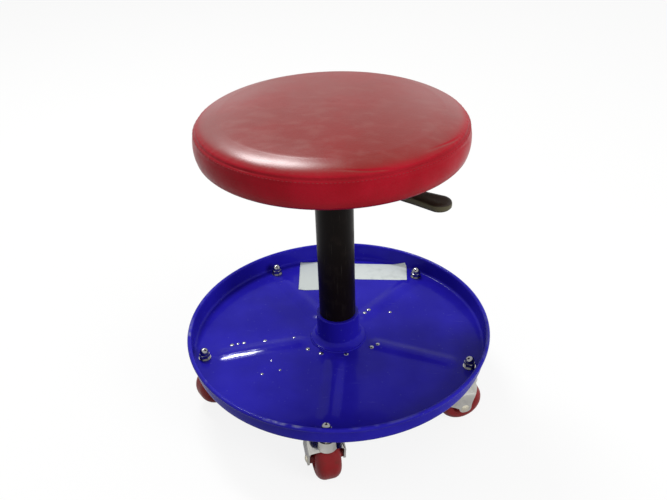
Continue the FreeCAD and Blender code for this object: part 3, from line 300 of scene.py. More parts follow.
def vinyl():
    """Red upholstery vinyl: fine leather grain, a top polished in clouds and more so beside
    the thighs and on the front left shoulder, and dust in the seam. The top is painted
    darker and browner than the sides as painted shade, and its pale rubbed patches are
    partly painted sheen."""
    f = Finish("vinyl")
    height = f.axis("Z")
    grain = f.cells(0.0016, "SMOOTH_F1")
    pores = f.noise(0.0007, 2.0)
    clouds = f.noise(0.075, 5.0)
    rubs = f.noise(0.024, 7.0, f.stretched(1.0, 1.7, 1.0))
    upward = f.facing_up()
    top = upward.band(0.80, 0.965)
    shoulder = upward.band(0.84, 0.93) * upward.band(1.0, 0.95) * f.axis("Y").band(-0.03, -0.11)
    shoulder = shoulder * f.axis("X").band(0.05, -0.02) * clouds.band(0.2, 0.5, 0.6, 1.0)
    thighs = f.axis("X") + 0.004
    sides = (thighs * thighs).band(0.0016, 0.0150)
    used = f.axis("Y").band(0.17, 0.0, 0.28, 1.0)
    patches = clouds.band(0.35, 0.68) * 0.12 + rubs.band(0.42, 0.70) * 0.12
    polish = top * used * (0.30 + sides * 0.26 + patches) + shoulder * 0.26 - top * 0.07
    seam = height.band(SEAM_HEIGHT - 0.0022, SEAM_HEIGHT - 0.0004)
    seam = seam * height.band(SEAM_HEIGHT + 0.0022, SEAM_HEIGHT + 0.0004)
    red = f.mix(f.noise(0.045, 3.0).band(0.3, 0.7), VINYL_DEEP, VINYL_LIGHT)
    # Painted shade: the faces of the top that point up are darker and browner than the sides.
    red = f.mix(top * (0.76 + clouds.band(0.38, 0.66) * 0.14), red, VINYL_TOP_SHADE)
    # Pale rubbed patches on the top: wear that is partly painted sheen.
    red = f.mix(top * rubs.band(0.48, 0.72) * 0.12, red, VINYL_RUBBED_SHEEN)
    red = f.mix(seam * 0.18, red, VINYL_SEAM)
    red = f.mix(height.band(SEAT_BOTTOM + 0.014, SEAT_BOTTOM) * 0.4, red, VINYL_FOOT)
    relief = grain.band(0.05, 0.75, 1.0, 0.0) + pores * 0.35 + rubs.band(0.55, 0.75) * 0.3
    return f.surface(
        Base_Color=red,
        Roughness=rubs.band(0.4, 0.7, 0.30, 0.40),
        Normal=f.relief(relief, 0.00018, 0.6),
        Specular_IOR_Level=0.05,
        Coat_Weight=0.11 + polish,
        Coat_Roughness=0.28,
    )


def glint_streak(f):
    """A painted glint along the left rib's front flank, drawn as paint worn through to the steel:
    streaks along the rib, with one bright line.
    """
    across_way, along_way = math.cos(LEFT_RIB), math.sin(LEFT_RIB)
    along = f.axis("X") * across_way + f.axis("Y") * along_way
    across = f.axis("Y") * across_way - f.axis("X") * along_way
    lane = f.add("ShaderNodeCombineXYZ", {0: along * 0.05, 1: across}, out="Vector")
    streaks = f.noise(0.0013, 2.0, lane)
    ends = along.band(0.106, 0.120) * along.band(0.172, 0.162)
    line = across.band(0.0066, 0.0078) * across.band(0.0102, 0.0090) * streaks.band(0.34, 0.50)
    haze = across.band(0.0010, 0.0050) * across.band(0.0128, 0.0090) * streaks.band(0.52, 0.64)
    return ends * line.most(haze * 0.7)


def enamel(name, worn=False):
    """Blue enamel on pressed steel: orange peel, dust specks, wipe marks and, on the tray, a
    rim worn through to the steel at the front left, partly a painted glint, and a painted glint
    along the left rib drawn as steel showing through the paint."""
    f = Finish(name)
    peel = f.noise(0.0042, 2.0)
    ripple = f.noise(0.03, 2.0)
    wipes = f.noise(0.006, 4.0, f.stretched(0.18, 1.0, 1.0))
    specks = f.cells(0.011).band(0.13, 0.05)
    blue = f.mix(f.noise(0.09, 3.0).band(0.3, 0.7), ENAMEL_DEEP, ENAMEL_LIGHT)
    blue = f.mix(specks * 0.22 + wipes.band(0.6, 0.8) * 0.08, blue, ENAMEL_DUST)
    worn_and_glint = 0.0
    if worn:
        # Rim worn through to the steel at the front left: wear that is partly a painted glint.
        worn_glint_side = (f.axis("X") + f.axis("Y")).band(-0.21, -0.27, 0.15, 1.0)
        rim = f.axis("Z").band(TRAY_RIM_TOP - 0.0016, TRAY_RIM_TOP)
        rim = rim * f.noise(0.03, 6.0).band(0.50, 0.66) * worn_glint_side
        # A painted glint along the left rib, drawn as steel showing through the paint.
        worn_and_glint = f.facing_up().band(0.1, 0.5) * glint_streak(f)
        worn_and_glint = worn_and_glint.most(rim * 0.45)
        blue = f.mix(worn_and_glint, blue, BARE_STEEL_GLINT)
    return f.surface(
        Base_Color=blue,
        Roughness=0.20 + wipes.band(0.5, 0.8) * 0.10 + worn_and_glint * 0.12,
        Metallic=worn_and_glint * 0.8,
        Normal=f.relief(peel * 0.6 + ripple + specks * 0.4, 0.00020, 0.5),
        Specular_IOR_Level=0.05,
        Coat_Weight=ripple.band(0.3, 0.7, 0.07, 0.03),
        Coat_Roughness=0.05,
    )


def black_enamel(name, rough, tone):
    """Black paint: orange peel, long fine scratches and a little dust."""
    f = Finish(name)
    peel = f.noise(0.003, 2.0)
    scratch = f.noise(0.0012, 3.0, f.stretched(1.0, 1.0, 0.03)).band(0.63, 0.74)
    dust = f.noise(0.02, 6.0).band(0.5, 0.8)
    black = f.mix(dust * 0.5, colour(*tone), colour(*(3.2 * np.array(tone) + 0.004)))
    black = f.mix(scratch * 0.35, black, BLACK_SCRATCH)
    return f.surface(
        Base_Color=black,
        Roughness=rough + dust * 0.15 + scratch * 0.1,
        Normal=f.relief(peel + scratch * -0.5, 0.00012, 0.45),
        Specular_IOR_Level=0.07,
    )


def bright_metal(name, tone, rough, cloud=0.0, depth=0.00005):
    """Plated or machined metal: small ripples, cloudy tarnish and fine scratches."""
    f = Finish(name)
    tarnish = f.noise(0.014, 6.0).band(0.42, 0.72)
    scratch = f.noise(0.0008, 2.0, f.stretched(1.0, 0.12, 1.0)).band(0.6, 0.8)
    pits = f.cells(0.004).band(0.14, 0.04)
    dark = colour(*(np.array(tone) * (0.62 - cloud)))
    metal = f.mix(tarnish * (0.35 + cloud) + pits * 0.3, colour(*tone), dark)
    return f.surface(
        Base_Color=metal,
        Metallic=1.0,
        Roughness=rough + tarnish * (0.06 + cloud) + scratch * 0.06,
        Normal=f.relief(f.noise(0.006, 2.0) + pits * -0.4, depth, 0.6),
    )


def moulded(name, tone, worn_tone, rough, texture=0.0009, depth=0.00008, edge=0.0):
    """Moulded plastic or rubber: spark-eroded texture, dust, and, where edge asks, flanks painted
    paler as a painted rim light.
    """
    f = Finish(name)
    grit = f.noise(texture, 2.0)
    dust = f.noise(0.012, 6.0).band(0.48, 0.75)
    tint = f.mix(dust * 0.6, colour(*tone), colour(*worn_tone))
    if edge:
        # Painted rim light: faces that turn sideways are made paler.
        flank = f.facing_up() ** 2.0
        tint = f.mix(flank.band(0.55, 0.1) * edge, tint, LIT_FLANK_TINT)
    return f.surface(
        Base_Color=tint,
        Roughness=rough + dust * 0.12,
        Normal=f.relief(grit, depth, 0.6),
        Specular_IOR_Level=0.25,
    )


def plywood():
    """Birch plywood seen from below: long veneer grain and a few darker streaks."""
    f = Finish("plywood")
    streak = f.noise(0.004, 5.0, f.stretched(0.07, 1.0, 1.0))
    figure = f.noise(0.05, 3.0, f.stretched(0.25, 1.0, 1.0))
    pale = f.mix(figure.band(0.3, 0.7), BIRCH_LIGHT, BIRCH_DARK)
    pale = f.mix(streak.band(0.5, 0.75) * 0.55, pale, BIRCH_STREAK)
    return f.surface(
        Base_Color=pale,
        Roughness=0.62 + streak * 0.2,
        Normal=f.relief(streak, 0.0002, 0.5),
    )


def paper():
    """Blank label: white film, faintly smudged, and the left one greyed by painted shade."""
    f = Finish("label_film")
    smudge = f.noise(0.016, 6.0).band(0.45, 0.75)
    # Painted shade: the label on the left is greyed.
    left_shade = f.axis("X").band(0.0, -0.03) * 0.55
    white = f.mix(left_shade.most(smudge * 0.55), FILM_CLEAN, FILM_SMUDGED_SHADED)
    return f.surface(
        Base_Color=white,
        Roughness=0.38 + smudge * 0.2,
        Normal=f.relief(f.noise(0.01, 3.0), 0.0003, 0.4),
    )


finishes = {
    "red_vinyl": vinyl(),
    "foam": moulded("foam", (0.62, 0.50, 0.22), (0.50, 0.38, 0.15), 0.85, 0.0012, 0.0004),
    "plywood": plywood(),
    "blue_paint": enamel("blue_enamel"),
    "black_paint": black_enamel("black_enamel", 0.34, (0.0042, 0.0027, 0.0021)),
    "chrome": bright_metal("chrome", (0.53, 0.52, 0.49), 0.10, cloud=0.10, depth=0.00022),
    "nut_chrome": bright_metal("nut_chrome", (0.30, 0.30, 0.31), 0.13, depth=0.00010),
    "steel": bright_metal("steel", (0.50, 0.49, 0.47), 0.26),
    "zinc_steel": bright_metal("zinc_steel", (0.62, 0.58, 0.47), 0.27, cloud=0.08),
    "red_wheel": moulded(
        "red_wheel", (0.195, 0.0060, 0.0078), (0.095, 0.020, 0.014), 0.38, depth=0.00006),
    "bush_plastic": moulded("bush_plastic", (0.018, 0.018, 0.019), (0.045, 0.044, 0.042), 0.48),
    "grip_plastic": moulded(
        "grip_plastic", (0.019, 0.0115, 0.0080), (0.036, 0.026, 0.017), 0.46, edge=0.75),
    "buffer_rubber": moulded("buffer_rubber", (0.014, 0.014, 0.014), (0.03, 0.03, 0.03), 0.7),
    "bearing_steel": bright_metal("bearing_steel", (0.60, 0.60, 0.60), 0.12),
    "cage_plastic": moulded("cage_plastic", (0.42, 0.38, 0.26), (0.34, 0.30, 0.20), 0.45),
    "red_button": moulded("red_button", (0.50, 0.03, 0.02), (0.40, 0.04, 0.03), 0.35),
}
own_finish = {"acorn_nuts": "nut_chrome"}
for row in frame["record"]["subparts"]:
    node = frame["nodes"][row["node"]]
    finish = finishes[own_finish.get(row["node"], row["material_slot"])]
    if node.data.materials:
        for index in range(len(node.material_slots)):
            node.material_slots[index].link = "OBJECT"
            node.material_slots[index].material = finish
    else:
        node.data.materials.append(finish)


# Cushion.

CROWN_ROUND = 1.412
CROWN_ROWS, SHOULDER_ROWS, SIDE_ROWS, FOOT_ROWS, WRAP_ROWS = 40, 44, 20, 9, 12
SHOULDER_REACH = 30.0 * MM
SHOULDER_LOW = SEAT_TOP - 25.3 * MM
SIDE_SWELL = 1.5 * MM
FOOT_ROUND = 7.0 * MM
FOOT_INSET = 0.2 * MM
WRAP_RADIUS = 130.0 * MM
COVER = 1.2 * MM
POLE = 1e-5
CUSHION_STEPS = 420

FORM_INSET = 2.6 * MM
FORM_STEPS = 180
CLOTH_CELL = 5.0 * MM
CLOTH_PRESSURE = 4.0
CLOTH_TENSION, CLOTH_COMPRESSION, CLOTH_BENDING = 12.0, 8.0, 1.2
CLOTH_FRAMES = 20
CLOTH_CAP = 4.2 * MM
SEWN_REACH, SEWN_DEPTH, STAPLED_REACH = 3.0 * MM, 20.0 * MM, 6.0 * MM
SWELL_SHARE, SWELL_LOW, SWELL_HIGH = 0.6, -1.3 * MM, 2.2 * MM
SWELL_BLUR = (2, 5)

# Waves round the cushion: lowest and highest wave number and how many.
GATHER_WAVES, TUCK_WAVES, PLEAT_WAVES = (70, 150, 14), (5, 30, 6), (34, 62, 8)
SEAM_TUCK, SEAM_WAVE, SEAM_WIDTH = 0.52, 0.24, 1.1 * MM
SEAM_RIDGE, RIDGE_OFF, RIDGE_ABOVE, RIDGE_BELOW = 0.28 * MM, 3.0 * MM, 2.2 * MM, 1.8 * MM
GATHER, GATHER_REACH, GATHER_CORE = 0.22 * MM, 5.5 * MM, 1.0 * MM
FLAT_EDGE, FLAT_FADE = 0.145, 0.006
# Soft dents on the top: reach in metres, the ring's highest wave, phase, and depth in mm.
DENTS = ((0.075, 2, 5, 0.55), (0.035, 3, 9, 0.28))
# Creases: angle and spread in radians, distance above (-) or below the seam and depth in mm.
CREASES = (
    (-0.55, 0.16, -8.5, 0.34), (-1.28, 0.14, -8.0, 0.42), (-0.35, 0.13, 8.0, 0.38),
    (-1.12, 0.10, -4.5, 0.30), (1.3, 0.25, -10.0, 0.40), (2.9, 0.2, 8.5, 0.35),
)
CREASE_SLANT = 4.0 * MM
PLEAT = 0.9 * MM
PLEAT_INSET, PLEAT_FADE = 10.0 * MM, 20.0 * MM


def cushion_profile(inset):
    """The cushion's section as (r, z): crown arc, a shoulder that falls from it as a quarter of
    an ellipse, a slightly swollen side, foot arc, and the cover turned in under the board.
    Shoulder: r = start + reach sin p, z = low + (crown(r) - low) cos p."""
    radius = SEAT_RADIUS - inset
    shoulder_start = radius - SHOULDER_REACH
    crown_r = np.linspace(POLE, shoulder_start, CROWN_ROWS)
    turn = np.linspace(0, math.pi / 2, SHOULDER_ROWS)
    shoulder_r = shoulder_start + SHOULDER_REACH * np.sin(turn)
    crown_z = SEAT_TOP - inset - crown_r ** 2 / (2 * CROWN_ROUND)
    over = SEAT_TOP - inset - shoulder_r ** 2 / (2 * CROWN_ROUND) - SHOULDER_LOW
    shoulder_z = SHOULDER_LOW + over * np.cos(turn)
    side = (radius, SHOULDER_LOW)
    foot = (radius - FOOT_INSET, SEAT_BOTTOM + FOOT_ROUND)
    base = (radius - FOOT_INSET - FOOT_ROUND + inset, SEAT_BOTTOM + inset)
    wrap = (WRAP_RADIUS, SEAT_BOTTOM + inset)
    wrap_end = (WRAP_RADIUS - 0.5 * MM, SEAT_BOTTOM + 3 * COVER)
    half = (side[1] - foot[1]) / 2
    side_round = (half ** 2 + SIDE_SWELL ** 2) / (2 * SIDE_SWELL)
    return chain(
        np.stack([crown_r, crown_z], axis=-1),
        np.stack([shoulder_r, shoulder_z], axis=-1),
        arc(side, foot, side_round, -1, SIDE_ROWS),
        arc(foot, base, FOOT_ROUND - inset, -1, FOOT_ROWS),
        line(base, wrap, WRAP_ROWS),
        line(wrap, wrap_end, 3),
        line(wrap_end, (POLE, SEAT_BOTTOM + 7 * COVER), 4),
    )


def form_points(inset, steps):
    """The form as a grid of points, its profile, and the angles of the grid's columns."""
    angles = np.arange(steps) / steps * TURN
    profile = cushion_profile(inset)
    return spun(profile[:, None, :], angles[None, :]), profile, angles


def capped_cloth(points):
    """The form blown up as cloth: remeshed, sewn fast at the seam and under the board, put
    under pressure with no gravity, and moved nowhere further than the cap."""
    cells = quads(*points.shape[:2], wrap_columns=True)
    start = mesh_piece("cushion_form", points, cells, finishes["red_vinyl"], None, None)
    bpy.context.view_layer.objects.active = start
    start.select_set(True)
    remesh = start.modifiers.new("even", "REMESH")
    remesh.mode = "VOXEL"
    remesh.voxel_size = CLOTH_CELL
    bpy.ops.object.modifier_apply(modifier=remesh.name)
    rest = np.empty(len(start.data.vertices) * 3)
    start.data.vertices.foreach_get("co", rest)
    rest = rest.reshape(-1, 3)
    radius = np.hypot(rest[:, 0], rest[:, 1])
    sewn = (abs(rest[:, 2] - SEAM_HEIGHT) < SEWN_REACH) & (radius > SEAT_RADIUS - SEWN_DEPTH)
    stapled = rest[:, 2] < SEAT_BOTTOM + STAPLED_REACH
    fast = start.vertex_groups.new(name="fast")
    fast.add(np.flatnonzero(sewn | stapled).tolist(), 1.0, "REPLACE")
    cloth = start.modifiers.new("cover", "CLOTH")
    cloth.settings.vertex_group_mass = "fast"
    cloth.settings.use_pressure = True
    cloth.settings.uniform_pressure_force = CLOTH_PRESSURE
    cloth.settings.tension_stiffness = CLOTH_TENSION
    cloth.settings.compression_stiffness = CLOTH_COMPRESSION
    cloth.settings.bending_stiffness = CLOTH_BENDING
    cloth.settings.effector_weights.gravity = 0.0
    cloth.collision_settings.use_collision = False
    cloth.point_cache.frame_start = 1
    cloth.point_cache.frame_end = CLOTH_FRAMES
    for number in range(1, CLOTH_FRAMES + 1):
        bpy.context.scene.frame_set(number)
    moved = np.empty_like(rest)
    blown = start.evaluated_get(bpy.context.evaluated_depsgraph_get())
    blown.data.vertices.foreach_get("co", moved.reshape(-1))
    step = moved - rest
    length = np.linalg.norm(step, axis=1, keepdims=True)
    moved = rest + step * np.minimum(1.0, CLOTH_CAP / np.maximum(length, 1e-9))
    start.modifiers.remove(cloth)
    start.data.vertices.foreach_set("co", moved.reshape(-1))
    finer = start.modifiers.new("finer", "SUBSURF")
    finer.levels = finer.render_levels = 1
    bpy.ops.object.modifier_apply(modifier=finer.name)
    bpy.context.scene.frame_set(1)
    return start


def blurred(field, along, across):
    """Running means of a field, wrapped round its columns, which together make it soft."""
    for _ in range(3):
        field = sum(np.roll(field, shift, axis=1) for shift in range(-across, across + 1))
        field = field / (2 * across + 1)
        padded = np.pad(field, ((along, along), (0, 0)), mode="edge")
        rows = field.shape[0]
        field = sum(padded[shift:shift + rows] for shift in range(2 * along + 1)) / (2 * along + 1)
    return field


def swelling(points, normals):
    """How far the blown cover stands off the form at each point of the grid, in metres: the
    grid is laid on the blown cover, and each point's move is read along its normal."""
    soft, _, _ = form_points(FORM_INSET, FORM_STEPS)
    blown = capped_cloth(soft)
    cells = quads(*points.shape[:2], wrap_columns=True)
    grid = bpy.data.meshes.new("cushion_grid")
    grid.from_pydata(points.reshape(-1, 3).tolist(), [], cells.tolist())
    laid = bpy.data.objects.new("cushion_grid", grid)
    bpy.context.scene.collection.objects.link(laid)
    wrap = laid.modifiers.new("wrap", "SHRINKWRAP")
    wrap.target = blown
    wrap.wrap_method = "NEAREST_SURFACEPOINT"
    fitted = laid.evaluated_get(bpy.context.evaluated_depsgraph_get())
    place = np.empty(points.size)
    fitted.data.vertices.foreach_get("co", place)
    move = place.reshape(points.shape) - points
    for helper in (laid, blown):
        bpy.data.objects.remove(helper)
    return blurred((move * normals).sum(axis=-1), *SWELL_BLUR)


def make_cushion():
    """The form, moved along its normals by the blown cover's swelling, the seam's tuck, its
    gathers, soft dents on the top, creases beside the seam, and pleats under the board."""
    points, profile, angles = form_points(0.0, CUSHION_STEPS)
    normals = grid_normals(points)
    normals = normals * np.sign((normals * points)[CROWN_ROWS // 2, 0].sum())
    run = np.concatenate([[0], np.cumsum(np.linalg.norm(np.diff(profile, axis=0), axis=1))])
    shoulder = slice(CROWN_ROWS, CROWN_ROWS + SHOULDER_ROWS - 1)
    seam_row = CROWN_ROWS + int(np.argmin(abs(profile[shoulder, 1] - SEAM_HEIGHT)))
    off_seam = (run - run[seam_row])[:, None]
    angle = angles[None, :]
    height = np.zeros(points.shape[:2])
    stand = SWELL_SHARE * (swelling(points, normals) + FORM_INSET)
    height += np.clip(stand, SWELL_LOW, SWELL_HIGH)
    gathers = waves(angle, *GATHER_WAVES)
    tuck = (SEAM_TUCK + SEAM_WAVE * waves(angle, *TUCK_WAVES)) * MM
    height -= tuck * bump(off_seam, SEAM_WIDTH)
    ridges = bump(off_seam - RIDGE_OFF, RIDGE_BELOW) + bump(off_seam + RIDGE_OFF, RIDGE_ABOVE)
    height += SEAM_RIDGE * ridges
    beside = bump(off_seam, GATHER_REACH) * (1 - bump(off_seam, GATHER_CORE))
    height += GATHER * gathers * beside
    across, deep = points[..., 0], points[..., 1]
    above_seam = profile[:, 1:] > SEAM_HEIGHT
    flat = above_seam / (1 + np.exp((profile[:, :1] - FLAT_EDGE) / FLAT_FADE))
    for reach, waviest, phase, size in DENTS:
        lumps = np.sin(across / reach + 1.3 + waves(angle, 1, waviest, 2))
        height += size * MM * lumps * np.cos(deep / reach + phase) * flat
    for where, spread, offset, size in CREASES:
        turn = (angle - where + math.pi) % TURN - math.pi
        crease = off_seam - offset * MM - CREASE_SLANT * np.sin(turn / spread)
        height -= size * MM * bump(crease, SEAM_WIDTH) * bump(turn, spread)
    underside = profile[:, 1:] < SEAT_BOTTOM + 0.5 * MM
    turned_in = underside & (profile[:, :1] > WRAP_RADIUS - 1.0 * MM)
    inward = np.clip((SEAT_RADIUS - PLEAT_INSET - profile[:, :1]) / PLEAT_FADE, 0, 1)
    height -= PLEAT * inward * turned_in * np.clip(waves(angle, *PLEAT_WAVES), -1, 1) ** 2
    points = points + normals * height[..., None]
    cells = quads(*points.shape[:2], wrap_columns=True)
    cushion = mesh_piece("seat_cushion", points, cells, finishes["red_vinyl"], "seat", "red_vinyl")
    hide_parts("seat_cover_top", "seat_cover_band", "seat_foam")
    return points, normals, off_seam[:, 0], angles


BAR_RINGS, BAR_SIDES = 7, 6


def capsules(centres, along, out, length, width, rise):
    """Small rounded bars: at t from -1 to 1 along each bar, an elliptic ring of the bar's width
    and rise times sqrt(1 - t^4), set out at the centres."""
    side = np.cross(along, out)
    t = np.linspace(-1, 1, BAR_RINGS)[None, :, None]
    a = np.linspace(0, TURN, BAR_SIDES, endpoint=False)[None, None, :]
    ring = np.sqrt(np.clip(1 - t ** 4, 0, 1)) + 0 * a
    wide = (ring * np.cos(a))[..., None] * side[:, None, None] * width / 2
    tall = (ring * np.sin(a))[..., None] * out[:, None, None] * rise / 2
    long = (t + 0 * a)[..., None] * along[:, None, None] * length / 2
    points = centres[:, None, None] + wide + tall + long
    return points.reshape(-1, 3), repeated(len(centres), BAR_RINGS, BAR_SIDES)


STITCHES, STITCH_DROP, STITCH_RISE = 228, 3.1 * MM, 0.12 * MM
STITCH_SIZE = (3.0 * MM, 0.65 * MM, 0.55 * MM)
STAPLES, STAPLE_RING = 84, 136 * MM
STAPLE_SIZE = (10.0 * MM, 1.1 * MM, 0.7 * MM)


def make_stitches(points, normals, off_seam, angles):
    """Top stitching beside the seam: one small thread bar every few millimetres."""
    row = int(np.argmin(abs(off_seam - STITCH_DROP)))
    where = np.linspace(0, TURN, STITCHES, endpoint=False)

    def sampled(field):
        """The row's values of a field, read between its columns."""
        columns = [np.interp(where, angles, field[row, :, i], period=TURN) for i in range(3)]
        return np.stack(columns, -1)

    track, out = sampled(points), sampled(normals)
    along = np.stack([-np.sin(where), np.cos(where), 0 * where], -1)
    thread = capsules(track + out * STITCH_RISE, along, out, *STITCH_SIZE)
    mesh_piece("seat_stitching", *thread, thread_finish, "seat", "red_vinyl")


def make_staples():
    """Staples through the turned-in cover, flat under the board, each a little askew."""
    where = np.arange(STAPLES) / STAPLES * TURN + rng.normal(0, 0.008, STAPLES)
    skew = rng.normal(0, 0.16, STAPLES)
    reach = STAPLE_RING + rng.normal(0, 1.2 * MM, STAPLES)
    level = 0 * where + SEAT_BOTTOM - 0.1 * MM
    centres = np.stack([reach * np.cos(where), reach * np.sin(where), level], -1)
    along = np.stack([-np.sin(where + skew), np.cos(where + skew), 0 * where], -1)
    out = np.tile(np.array([0.0, 0.0, -1.0]), (STAPLES, 1))
    bars = capsules(centres, along, out, *STAPLE_SIZE)
    mesh_piece("seat_staples", *bars, finishes["zinc_steel"], "seat", "zinc_steel")


# Tray.

SHEET = 1.2 * MM
WALL_RADIUS = TRAY_RIM_RADIUS - 6.0 * MM
CORNER = 5.0 * MM
CURL = 3.0 * MM
RIM_CENTRE = TRAY_RIM_TOP - CURL
HUB_HOLE = 29.8 * MM
RIB_START, RIB_END = 42.0 * MM, 178.0 * MM
RIB_HALF, RIB_HEIGHT = 17.0 * MM, 2.7 * MM
STUD_CIRCLE = 190.2 * MM
TRAY_STEPS = 480
# Where the floor's waves fade out: at the wall, round the hub's foot and round the studs.
FLOOR_EDGE, FLOOR_FADE = WALL_RADIUS - 9 * MM, 1.2 * MM
HUB_CALM, HUB_FADE, STUD_FADE = 38 * MM, 6 * MM, 12 * MM
CANNING = 0.30 * MM


def rib_height(radius, angle):
    """Five soft ribs: RIB_HEIGHT cos^2(90 degrees d / RIB_HALF) at a distance d from the line
    of the nearest rib."""
    total = np.zeros(np.broadcast(radius, angle).shape)
    low, high = RIB_START + RIB_HALF, RIB_END - RIB_HALF
    for number in range(STUDS):
        turn = angle - FIRST_STUD - number * TURN / STUDS
        along, across = radius * np.cos(turn), radius * np.sin(turn)
        beyond = np.maximum(low - along, along - high)
        distance = np.hypot(across, np.maximum(beyond, 0))
        total = np.maximum(total, np.cos(np.clip(distance / RIB_HALF, 0, 1) * math.pi / 2) ** 2)
    return RIB_HEIGHT * total


def make_tray():
    """A pressed sheet: floor with ribs and slight oil-canning, wall, and a rolled rim, its
    profile closed by the same line drawn in by the sheet's thickness. Oil-canning: low waves
    sin 3a sin(r / 26 mm) and sin 7a sin(r / 15 mm), faded out at the hub, studs and wall."""
    angles = np.arange(TRAY_STEPS) / TRAY_STEPS * TURN
    inner, outer = WALL_RADIUS, WALL_RADIUS + SHEET
    under = TRAY_FLOOR - SHEET
    middle = inner + CURL
    corner_in, curl_in = CORNER - SHEET, CURL - SHEET
    floor_top = line((HUB_HOLE, TRAY_FLOOR), (inner - corner_in, TRAY_FLOOR), 84)
    floor_under = line((outer - CORNER, under), (HUB_HOLE, under), 40)
    profile = chain(
        floor_top,
        arc((inner - corner_in, TRAY_FLOOR), (inner, TRAY_FLOOR + corner_in), corner_in, 1, 7),
        line((inner, TRAY_FLOOR + corner_in), (inner, RIM_CENTRE), 5),
        arc((inner, RIM_CENTRE), (middle, RIM_CENTRE + CURL), CURL, -1, 6),
        arc((middle, RIM_CENTRE + CURL), (middle + CURL, RIM_CENTRE), CURL, -1, 6),
        arc((middle + CURL, RIM_CENTRE), (middle, RIM_CENTRE - CURL), CURL, -1, 6),
        line((middle, RIM_CENTRE - CURL), (middle, RIM_CENTRE - curl_in), 2),
        arc((middle, RIM_CENTRE - curl_in), (middle + curl_in, RIM_CENTRE), curl_in, 1, 5),
        arc((middle + curl_in, RIM_CENTRE), (middle, RIM_CENTRE + curl_in), curl_in, 1, 5),
        arc((middle, RIM_CENTRE + curl_in), (outer, RIM_CENTRE), curl_in, 1, 5),
        line((outer, RIM_CENTRE), (outer, under + CORNER), 5),
        arc((outer, under + CORNER), (outer - CORNER, under), CORNER, -1, 7),
        floor_under,
    )
    points = spun(profile[:, None, :], angles[None, :])
    radius, angle = profile[:, :1], angles[None, :]
    flat = abs(profile[:, 1:] - TRAY_FLOOR + SHEET / 2) < SHEET
    floor = flat / (1 + np.exp((radius - FLOOR_EDGE) / FLOOR_FADE))
    clear = 1 - bump(np.maximum(radius - HUB_CALM, 0), HUB_FADE)
    clear = clear * (1 - bump(radius - STUD_CIRCLE, STUD_FADE))
    long_waves = np.sin(3 * angle + 0.6) * np.sin(radius / (26 * MM))
    short_waves = np.sin(7 * angle + 2.0) * np.sin(radius / (15 * MM)) * 0.4
    canning = CANNING * (long_waves + short_waves)
    points[..., 2] += floor * (rib_height(radius, angle) + canning * clear)
    painted = enamel("tray_enamel", worn=True)
    cells = quads(*points.shape[:2], True, True)
    tray = mesh_piece("tray_pressing", points, cells, painted, "base", "blue_paint")
    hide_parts("tray")


BEAD_STEPS, BEAD_SIDES = 540, 12
BEAD = 1.5 * MM


def make_weld():
    """Weld bead round the hub's foot: a ring whose round section swells with the size of
    sin(46 a), the ripples a little uneven."""
    around = np.linspace(0, TURN, BEAD_STEPS, endpoint=False)[None, :]
    section = np.linspace(0, TURN, BEAD_SIDES, endpoint=False)[:, None]
    ripple = abs(np.sin(around * 46 + 0.4 * np.sin(5 * around)))
    size = BEAD * (0.72 + 0.34 * ripple)
    radius = hub_high.x + 0.6 * MM + size * np.cos(section) + 0.2 * MM * np.sin(9 * around)
    height = TRAY_FLOOR + 0.2 * MM + size * np.sin(section)
    points = np.stack([radius * np.cos(around), radius * np.sin(around), height + 0 * around], -1)
    cells = quads(BEAD_SIDES, BEAD_STEPS, True, True)
    mesh_piece("hub_weld", points, cells, finishes["blue_paint"], "base", "blue_paint")


DOME_RINGS, DOME_SIDES, DOME_RISE = 8, 16, 0.36
# Weld spatter: x, y and radius of each dome, in millimetres.
SPATTER = (
    (-149.0, -29.1, 3.2), (-141.0, -26.0, 2.4), (-132.8, -23.9, 3.0), (-103.5, -18.0, 3.0),
    (-63.0, -9.4, 2.0), (-40.2, -32.7, 3.2), (-20.8, -41.0, 3.6), (13.8, -40.6, 3.4),
    (48.5, -25.2, 3.4), (56.8, -20.4, 3.0), (35.2, 51.5, 2.8), (40.8, 59.2, 3.2),
    (72.6, 58.2, 2.4), (-96.3, -87.5, 2.2), (-73.2, -78.3, 1.8), (-88.0, -60.0, 1.5),
)


def make_spatter():
    """Bright weld spatter on the tray's floor: domes of radius w and height 0.36 w, at a turn p
    from the foot w cos p wide and 0.36 w sin p high."""
    places, size = np.split(np.array(SPATTER) * MM, [2], axis=1)
    ring = np.linspace(0, math.pi / 2, DOME_RINGS)[None, :, None]
    turn = np.linspace(0, TURN, DOME_SIDES, endpoint=False)[None, None, :]
    wide = size[:, :, None]
    x = places[:, 0][:, None, None] + wide * np.cos(ring) * np.cos(turn)
    y = places[:, 1][:, None, None] + wide * np.cos(ring) * np.sin(turn)
    base = TRAY_FLOOR + rib_height(np.hypot(*places.T), np.arctan2(places[:, 1], places[:, 0]))
    z = base[:, None, None] - 0.2 * MM + DOME_RISE * wide * np.sin(ring) + 0 * turn
    points = np.stack([x, y, z], -1)
    faces = repeated(len(places), DOME_RINGS, DOME_SIDES)
    mesh_piece("tray_spatter", points, faces, finishes["nut_chrome"], "base", "chrome")


LABEL_ROWS, LABEL_COLUMNS = 49, 33
LABEL_OFF, LABEL_LIFT, LABEL_FILM = 0.30 * MM, 0.25 * MM, 0.2 * MM


